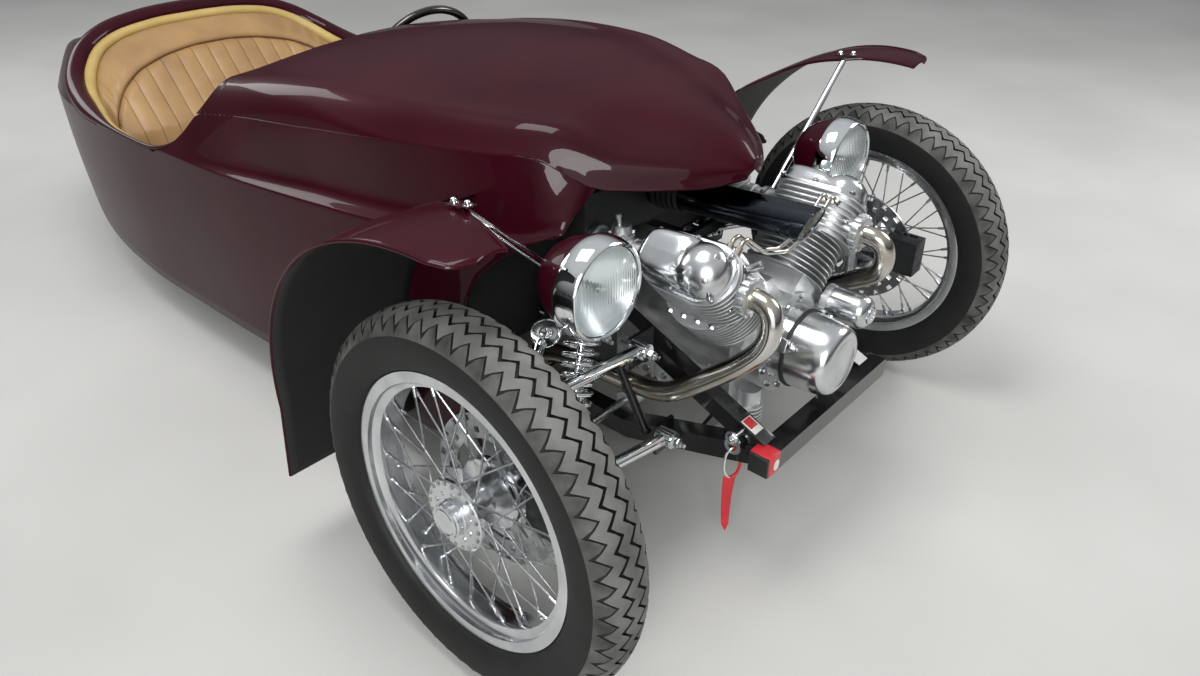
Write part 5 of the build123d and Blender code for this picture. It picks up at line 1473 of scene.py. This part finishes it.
# headlamps: chrome bezel, pressed fluted lens, silvered reflector with its bulb
# the lamp is drawn at 184 mm across and scaled
lampMatrix = turnTo(at(-384, -42, 616), (0, 1, 0), (0, 0, 1)) @ Matrix.Scale(0.892, 4)
bezelShape = [
    (84.4, -1), (85, -5), (87.5, -7), (90.5, -5.5), (93, -1), (96, 8), (98, 18), (98.6, 28), (98, 36),
    (96.5, 40), (93, 41), (91.2, 40), (91.2, 24), (84.4, 21.6),
]
bowlShape = [
    (88, 24.2), (91, 24.4), (91.6, 34), (89.5, 50), (85, 68), (77, 88), (65, 106), (48, 121), (26, 130),
    (8, 132), (0, 132),
]
reflector = [(83.5 * (1 - i / 14) ** 0.5, 4 + 52 * i / 14) for i in range(14)] + [(12, 56), (0, 57)]
lensSize = {"radius": 84, "rings": 60, "turns": 160, "dish": 11, "thick": 5, "flute": 7}


def lensFace(isInner):  # dished face of the lens, the inner one pressed into upright flutes
    rows = []
    for share in shares(lensSize["rings"]):
        radius = lensSize["radius"] * share
        row = []
        for turn in turnsOf(lensSize["turns"]):
            across, up = radius * math.sin(turn), radius * math.cos(turn)
            z = -2 - lensSize["dish"] * (1 - (radius / lensSize["radius"]) ** 2)
            if isInner:
                flute = 0.5 * abs(math.sin(math.pi * across / lensSize["flute"])) * (1.0 if up > -20 else 0.4)
                z += lensSize["thick"] + flute * min(1, (lensSize["radius"] - radius) / 8)
            row.append(Vector((up / 1000, across / 1000, z / 1000)))
        rows.append(row + row[:1])
    return rows


outerFace, innerFace = lensFace(False), lensFace(True)
lensLump = joined([gridLump(outerFace), gridLump(innerFace), gridLump([outerFace[-1], innerFace[-1]])])
bulb = lathed([(0, 14), (5, 15), (8, 20), (8, 28), (6, 36), (6, 52), (0, 53)], 24)
for lampName, lump, material, slotName, replaced in (
    ("lampBezel", lathed(bezelShape, 96, closed=True), chromePlate, "chrome_plate", "headlamp_bezels"),
    ("lampBowl", lathed(bowlShape, 96), maroonPaint, "body_paint", "headlamp_bowls"),
    ("lampReflector", lathed(reflector, 96), silvering, "chrome_plate", None),
    ("lampLens", lensLump, lampGlass, "lamp_glass", "headlamp_lenses"),
    ("lampBulb", bulb, polishedAluminium, "chrome_plate", None),
):
    piece = addPiece(lampName, bothSides([moved(lump, lampMatrix)]), material, 38, weld=True)
    if replaced:
        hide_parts(replaced)
lampTrim = [
    boltLump(at(-384, -51, 527), (0, -1, 0.2), 6, 5, False),
    boxAt((12, 14, 8), 2, at(-384, -43, 531)),
]
addPiece("lampScrews", bothSides(lampTrim), brightSteel, 32)
print("lamps done")

# coil springs with their dampers
low, high = at(-430, 12, 288), at(-300, 75, 520)
axis = (high - low).normalized()
run = (high - low).length * 1000
coilStart, coilEnd, coilTurns = 62.0, run - 52.0, 8.5
side = axis.orthogonal().normalized()
over = axis.cross(side)
coil = []
coilRadius, wire, stepsPerTurn = 30, 4.0, 20
for i in range(int(coilTurns * stepsPerTurn) + 1):
    turn = 2 * math.pi * i / stepsPerTurn
    share = i / (coilTurns * stepsPerTurn)
    rise = coilStart + wire + (coilEnd - coilStart - 2 * wire) * share
    coil.append(
        low + axis * (rise / 1000) + (side * math.cos(turn) + over * math.sin(turn)) * (coilRadius / 1000)
    )
damperShape = [
    (0, 0), (12, 0), (14, 8), (19, 12), (20, 16), (20, 50), (22, 55), (37, 55), (37, 62), (23, 62), (23, 70),
    (19, 74), (19, 120), (13, 122), (7, 124), (7, run - 60), (12, run - 58), (24, run - 54), (37, run - 52),
    (37, run - 45), (20, run - 45), (18, run - 20), (14, run - 12), (12, run), (0, run),
]
spring = tubeLump(coil, wire, 10, smooth=False)
springs = addPiece("coilSprings", bothSides([spring]), chromePlate, 50)
addPiece("dampers", bothSides([turned(damperShape, 40, low, axis)]), chromePlate, 34)
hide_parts("spring_dampers")

# bolts and nuts through the wishbone bushes
pivotBolts = []
pivotWasher = [(0, 0), (15, 0), (15, 2), (11.5, 2.2), (0, 2.2)]
threadEnd = [(0, 0), (7, 0), (7, 5), (4.6, 6), (4.6, 12), (0, 12.5)]
for x, behind, z in ((250, -5, 430), (250, 215, 430), (235, -62, 255), (235, 230, 255)):
    front = at(-x, behind - 17, z)
    pivotBolts.append(turned(pivotWasher, 24, front, toFront))
    pivotBolts.append(boltLump(front + Vector((0, -0.0022, 0)), toFront, 17, 11, False))
    pivotBolts.append(turned(threadEnd, 16, front + Vector((0, -0.0132, 0)), toFront))
addPiece("pivotNuts", bothSides(pivotBolts), chromePlate, 32)
print("suspension details done")

# cockpit: thick painted coaming, piped roll, padded band, fluted back and cushion
coamingRoute = [  # right half: x, behind, height
    (-449, 1240, 578), (-462, 1290, 556), (-470, 1352, 542), (-473, 1450, 538), (-470, 1590, 538),
    (-461, 1700, 542), (-446, 1800, 553), (-424, 1890, 575), (-388, 1955, 607), (-330, 2006, 646),
    (-250, 2034, 676), (-150, 2047, 691), (-60, 2050, 696),
]


def wholeRoute(points):
    return points + [(-x, behind, z) for x, behind, z in reversed(points)]


def inwardRoute(points, inward, drop):  # route moved towards the middle of the cockpit and down, mm
    places = []
    for i, (x, behind, z) in enumerate(points):
        before, after = points[max(i - 1, 0)], points[min(i + 1, len(points) - 1)]
        run = Vector((after[0] - before[0], after[1] - before[1])).normalized()
        places.append((x + run.y * inward, behind - run.x * inward, z - drop))
    return places


def smoothRoute(points, count):  # evenly spaced places on the smooth curve through the points
    return [catmull(points, (len(points) - 1) * i / count, True) for i in range(count + 1)]


fullRoute = smoothRoute(wholeRoute(coamingRoute), 160)


def rollSize(share):  # radius of the coaming: slim at its front ends, thick round the back
    end = min(share, 1 - share)
    return 5.6 + 19 * eased((end - 0.14) / 0.1) + 4.5 * ramped((end - 0.24) / 0.26)


def routeTube(name, route, material, sides, sharp, size):  # tube whose radius follows a function
    return addTube(name, [at(*p) for p in route], 0, material, sides, sharp, size)


coaming = routeTube("coamingRoll", fullRoute, maroonPaint, 28, 50, rollSize)
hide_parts("coaming_roll")


def routeBeside(reach, drop):  # route beside the coaming, both distances given by a function of the share, mm
    last = len(fullRoute) - 1
    return [inwardRoute(fullRoute, reach(i / last), drop(i / last))[i] for i in range(last + 1)]


lowerBead = routeBeside(lambda s: -0.8 * rollSize(s), lambda s: 0.6 * rollSize(s))


def beadSize(share):
    return 2 + 5 * min(1, min(share, 1 - share) / 0.2)


routeTube("coamingBead", lowerBead[30:-30], maroonPaint, 14, 50, beadSize)
print("coaming done")


def paleSize(share):  # half width of the pale roll, widest at the rear corners
    end = min(share, 1 - share)
    return 3.6 + 11 * eased((end - 0.1) / 0.16) + 4 * math.exp(-(((end - 0.3) / 0.06) ** 2))


def paleReach(share):
    return 0.95 * rollSize(share) + 0.35 * paleSize(share)


# pale roll along the top of the trim, its height a little uneven
rollRoute = routeBeside(paleReach, lambda s: 0.5 * rollSize(s))
rollLine = []
for i, (x, behind, z) in enumerate(rollRoute):
    share = i / (len(rollRoute) - 1)
    rollLine.append((x, behind, z + 0.32 * math.sin(share * 97) * math.sin(share * 31)))
paleRoll = routeTube("paleRoll", rollLine, paleHide, 20, 60, paleSize)
seamRoute = routeBeside(
    lambda s: paleReach(s) + 0.66 * paleSize(s), lambda s: 0.5 * rollSize(s) + 0.72 * paleSize(s)
)
addTube("rollSeam", [at(*p) for p in seamRoute[4:-4]], 1.6, seamThread)

# padded band below the roll: from the seam out at the wall to the seam round the seat back
bandTable = [  # right half: top x, behind, height, then foot x, behind, height
    (-425, 1248, 552, -420, 1250, 410), (-434, 1352, 517, -420, 1345, 372),
    (-436, 1470, 513, -418, 1470, 362), (-434, 1590, 513, -415, 1590, 362),
    (-422, 1700, 518, -410, 1690, 385), (-402, 1790, 533, -398, 1768, 440),
    (-372, 1868, 560, -366, 1810, 500), (-330, 1934, 592, -318, 1850, 550),
    (-262, 1982, 630, -248, 1884, 588), (-160, 2006, 662, -150, 1906, 612),
    (-60, 2012, 668, -56, 1916, 622),
]
bandWhole = bandTable + [(-a, b, c, -d, e, f) for a, b, c, d, e, f in reversed(bandTable)]


def nearestOn(route, point):  # nearest place on a line of points
    best = None
    for a, b in zip(route, route[1:]):
        run = b - a
        share = ramped((point - a).dot(run) / run.length_squared)
        place = a + run * share
        if best is None or (place - point).length < (best - point).length:
            best = place
    return best


bandRows = smoothRoute(bandWhole, 200)
seamPlaces = [at(*p) for p in seamRoute]
bandCross = 18
outerRows, backRows = [], []
for index, row in enumerate(bandRows):
    top, foot = nearestOn(seamPlaces, at(*row[:3])), at(*row[3:])
    before, after = bandRows[max(index - 1, 0)], bandRows[min(index + 1, len(bandRows) - 1)]
    run = (at(*after[:3]) - at(*before[:3])).normalized()
    face = (foot - top).normalized().cross(run).normalized()
    if face.dot(at(0, 1500, 700) - top) < 0:
        face = -face
    share = index / (len(bandRows) - 1)
    corner = math.exp(-((min(share, 1 - share) - 0.30) / 0.085) ** 2)
    outerRow, backRow = [], []
    for c in range(bandCross + 1):
        t = c / bandCross
        swell = 15 * (1 - (2 * t - 1) ** 4) ** 0.6 if 0 < t < 1 else 0
        wrinkle = corner * 2.6 * math.sin(share * 240 + 3 * t) * math.sin(math.pi * t) ** 0.7
        sag = 1.1 * math.sin(share * 57 + 1.3) * math.sin(math.pi * t)
        outerRow.append(top + (foot - top) * t + face * (swell + wrinkle + sag) / 1000)
        backRow.append(top + (foot - top) * t - face * (1.5 + 10.5 * min(1, t / 0.3)) / 1000)
    outerRows.append(outerRow + backRow[::-1] + [outerRow[0]])
bandLump = gridLump(outerRows)
capStart = list(range(len(outerRows[0]) - 1))
capEnd = [(len(outerRows) - 1) * len(outerRows[0]) + i for i in capStart]
bandLump[1].append(capStart[::-1])
bandLump[1].append(capEnd)
trimBand = addPiece("trimBand", bandLump, tanHide, 60, weld=True)
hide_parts("side_linings")
footSeam = [at(*row[3:]) for row in bandRows[50:-50]]
addTube("backSeam", footSeam, 2.6, seamThread)
# plain hide below the band, down the sides of the tub
for sideName, side in sides.items():
    rows = [
        [at(side * (438 - 6 * math.sin(math.pi * t)), behind, 345 + 75 * t) for t in shares(8)]
        for behind in stations(1135, 1760, 45)
    ]
    wall = addPiece("sideHide" + sideName, gridLump(rows), tanHide, 60)
    addModifier(wall, "SOLIDIFY", {"thickness": 0.008, "offset": 0})
print("trim band done")

# seat back: upright sewn flutes under a curved top seam
backLine = [(207, 1705), (330, 1730), (450, 1765), (520, 1826), (585, 1882), (640, 1926)]
backTop = sorted((row[3], row[5]) for row in bandWhole[5:-5])
backHalf = 398  # half width of the seat back
fluteWidth, fluteDeep = 50, 6


valleys = [-375 + fluteWidth * i for i in range(16)]
backColumns = sorted(
    set(stations(-backHalf, backHalf, 9) + [v + d for v in valleys for d in (-4, -0.9, 0.9, 4)])
)


def backLump():
    front, rear = [], []
    for x in backColumns:
        topHigh = readLine(backTop, x) - 1
        frontRow, rearRow = [], []
        for c in range(41):
            t = c / 40
            z = 322 + (topHigh - 322) * t
            behind = readLine(backLine, z)
            flute = abs(math.sin(math.pi * (x + fluteWidth / 2) / fluteWidth)) ** 0.35
            ends = min(1, (1 - t) / 0.07, (t + 0.02) / 0.08)
            edge = ends ** 0.5 * min(1, (backHalf - abs(x)) / 14 + 0.05) ** 0.5
            cushioned = 10 * edge + fluteDeep * flute * edge - 4
            soft = 1.2 * math.sin(x * 0.031 + z * 0.02) * edge
            frontRow.append(at(x, behind - cushioned - soft, z + cushioned * 0.35))
            rearRow.append(at(x, behind + 46, z))
        front.append(frontRow)
        rear.append(rearRow)
    closed = [f + r[::-1] + [f[0]] for f, r in zip(front, rear)]
    lump = gridLump(closed)
    width = len(closed[0])
    lump[1].append(list(range(width - 1)))
    lump[1].append([(len(closed) - 1) * width + i for i in range(width - 1)][::-1])
    return lump


seatBack = addPiece("seatBackFlutes", backLump(), [tanHide, seamThread], 70, weld=True)
for face in seatBack.data.polygons:  # sewn line in each valley
    middle = face.center.x * 1000
    if min(abs(middle - v) for v in valleys) < 0.5:
        face.material_index = 1
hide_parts("seat_back")


def swollen(lump, name, cap):
    # closed pad blown up a little by cloth simulation, no point moving further than the cap in mm
    pad = addPiece(name, lump, tanHide, 70, weld=True)
    addModifier(pad, "REMESH", {"mode": "VOXEL", "voxel_size": 0.008})
    cloth = pad.modifiers.new("swell", "CLOTH")
    cloth.settings.use_pressure = True
    cloth.settings.uniform_pressure_force = 4
    cloth.settings.effector_weights.gravity = 0
    cloth.settings.quality = 4
    rest = None
    for number in range(1, 16):
        bpy.context.scene.frame_set(number)
        moving = pad.evaluated_get(bpy.context.evaluated_depsgraph_get())
        if rest is None:
            rest = bpy.data.meshes.new_from_object(moving)
    grown = bpy.data.meshes.new_from_object(moving)
    bpy.context.scene.frame_set(1)
    for vertex, start in zip(grown.vertices, rest.vertices):
        shift = vertex.co - start.co
        if shift.length > cap / 1000:
            shift *= cap / 1000 / shift.length
        vertex.co = start.co + shift
    pad.modifiers.clear()
    pad.data = grown
    return pad


def cushionLump(inset):
    block = roundedBox([length - 2 * inset for length in (790, 410, 126)], 22, 4)
    return moved(block, Matrix.Translation(at(0, 1497, 271)))


cushion = swollen(cushionLump(16), "seatCushion", 18)
for vertex in cushion.data.vertices:  # sewn channels from front to back, and the flat foot
    place = vertex.co.x * 1000
    channel = math.exp(-((((place + 50) % fluteWidth) - 25) / 4.5) ** 2)
    if vertex.co.z > 0.29 and abs(place) < 372:
        vertex.co.z -= 0.007 * channel
    vertex.co.z = max(vertex.co.z, 0.2075)
cushion.data.polygons.foreach_set("use_smooth", [True] * len(cushion.data.polygons))
addModifier(cushion, "SUBSURF", {"levels": 1, "render_levels": 1})
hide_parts("seat_cushion")
print("seat done")

# steering wheel: rim, drilled alloy spokes with a bright ring round each hole, and a boss nut
wheelWay = Vector((198 - 128, 1132 - 100, 645 - 223)).normalized()
wheelPlace = turnTo(at(198, 1132, 645), wheelWay, (0, 0, 1))
rimLine = [polar(165, turn) for turn in turnsOf(96)]
rimTube = tubeLump(rimLine + rimLine[:2], 10.4, 18, smooth=False)
steeringRim = addPiece(
    "steeringRim", moved(rimTube, wheelPlace), rimPlastic, 60, body="steering"
)
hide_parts("steering_wheel")
spokes = []
for angle in (90, 210, 330):
    turn = math.radians(angle)
    way = Vector((math.cos(turn), math.sin(turn), 0))
    bar = roundedBox((132, 24, 3.4), 1)
    spokes.append(moved(bar, Matrix.Rotation(turn, 4, "Z") @ Matrix.Translation((0.090, 0, 0.002))))
    for reach in (40, 60, 80, 100):  # bright ring round each hole
        hole = lathed([(4.5, 0), (7, 0), (7, 1), (4.5, 1)], 20, closed=True)
        spokes.append(moved(hole, Matrix.Translation(way * reach / 1000 + Vector((0, 0, 0.0036)))))
spokes.append(lathed([(0, -10), (28, -10), (28, 6), (26, 9), (14, 11), (13, 15), (0, 16)], 48))
addPiece(
    "steeringSpokes", moved(joined(spokes), wheelPlace), brightSteel, 34, body="steering"
)
print("steering wheel done")

# red tape, black end cap and blank labels on the front crossbar and the rail above it
addPiece("redSleeve", boxAt((35, 41.6, 41.6), 1.2, at(-197, -249, 280)), redTape, 30)
addPiece("crossbarCap", boxAt((5, 40, 40), 2.2, at(-217.5, -249, 280)), mouldedPlastic, 30)
slope = math.radians(22.8)  # of the upper rail
railUp = Vector((0, -math.sin(slope), math.cos(slope)))
stickerSeat = at(-172, -196, 302.5) + railUp * 0.0178
stickerTurn = turnTo(stickerSeat, railUp, (1, 0, 0))
oval = stretched(lathed([(0, 0), (8.5, 0), (8.5, 0.5), (0, 0.6)], 32), 1.35, 1)
oval = moved(oval, turnTo(at(-191, -269.9, 276), toFront))
paper = [moved(roundedBox((27, 34, 0.6), 0.2), stickerTurn), oval]
addPiece("blankLabels", joined(paper), stickerPaper, 30)
panel = roundedBox((21, 21, 0.4), 0.1)
addPiece(
    "stickerPanel", moved(panel, stickerTurn @ Matrix.Translation((0, 0.005, 0.0004))), redTape, 30
)


def hookLump(wire, start, stop, count=30):
    # part of the snap link's oval wire, from and to an angle in degrees
    points = []
    for i in range(count + 1):
        turn = math.radians(start + (stop - start) * i / count)
        wide = linkSize[0] * math.cos(turn)
        high = linkSize[1] * math.copysign(abs(math.sin(turn)) ** 0.8, math.sin(turn))
        points.append(linkSeat + linkAcross * (wide / 1000) + linkUp * (high / 1000))
    return tubeLump(points, wire, 10, smooth=False)


# snap link through the eye, red with a bright gate, and the blank red webbing tag that hangs from it
tagSize = {"long": 138, "wide": 23, "endWide": 13}
linkSeat = at(-199, -186, 240.6)
linkAcross, linkUp = Vector((0.85, -0.53, 0)), Vector((0, 0, 1))
linkSize = (16, 34)  # half width and half height
eyeStack = [
    boltLump(at(-206.6, -186, 300), (-1, 0, 0), 17, 7),
    boltLump(at(-213, -186, 300), (-1, 0, 0), 11, 5, False),
]
gate = hookLump(2.5, 93, 262)
addPiece("snapLink", joined(eyeStack + [gate]), chromePlate, 40)
redLink = addPiece("redLink", hookLump(3.1, -100, 95), redTape, 40)
tagRows = []
tagAcross = Vector((0.72, -0.69, 0))
for t in shares(24):
    half = (tagSize["wide"] + (tagSize["endWide"] - tagSize["wide"]) * t) / 2 * min(1, 8.4 * (1 - t) + 0.04)
    drift = Vector((0.003 * math.sin(2.6 * t), 0.004 * math.sin(3.1 * t), 0))
    middle = at(-201, -184, 208 - tagSize["long"] * t) + drift
    curl = Vector((0, 0, 0.0012))  # the edges hang a little higher than the middle
    tagRows.append([middle + tagAcross * (half * k / 4000) + curl * abs(k) / 4 for k in range(-4, 5)])
redTag = addPiece("redTag", gridLump(tagRows), redTape, 60)
addModifier(redTag, "SOLIDIFY", {"thickness": 0.0014, "offset": 0})
# black damper struts behind the front wheels' lower arms, and the chrome horn by each lamp
head, foot = at(-240, 54, 370), at(-240, -18, 244)
strutParts = [rodLump(head, foot, 8.5, 20)]
way = (foot - head).normalized()
for share in (0.04, 0.3, 0.96):
    strutParts.append(
        turned([(8, -4), (11, -4), (11, 4), (8, 4)], 24, head.lerp(foot, share), way, closed=True)
    )
hornSeat = at(-350, 133, 461)
hornWay = Vector((-0.62, -0.78, 0.1)).normalized()
hornShape = [
    (0, 0), (9, 0), (10, 4), (14, 8), (26, 11), (28, 12), (28, 14), (25, 14.5), (13, 11), (8, 12),
    (0, 14),
]
hornParts = [turned(hornShape, 40, hornSeat, hornWay), rodLump(hornSeat, at(-300, 88, 538), 4.5, 14)]
addPiece("strutsFront", bothSides(strutParts), blackEnamel, 34)
addPiece("horns", bothSides(hornParts), chromePlate, 34)
print("front details done")
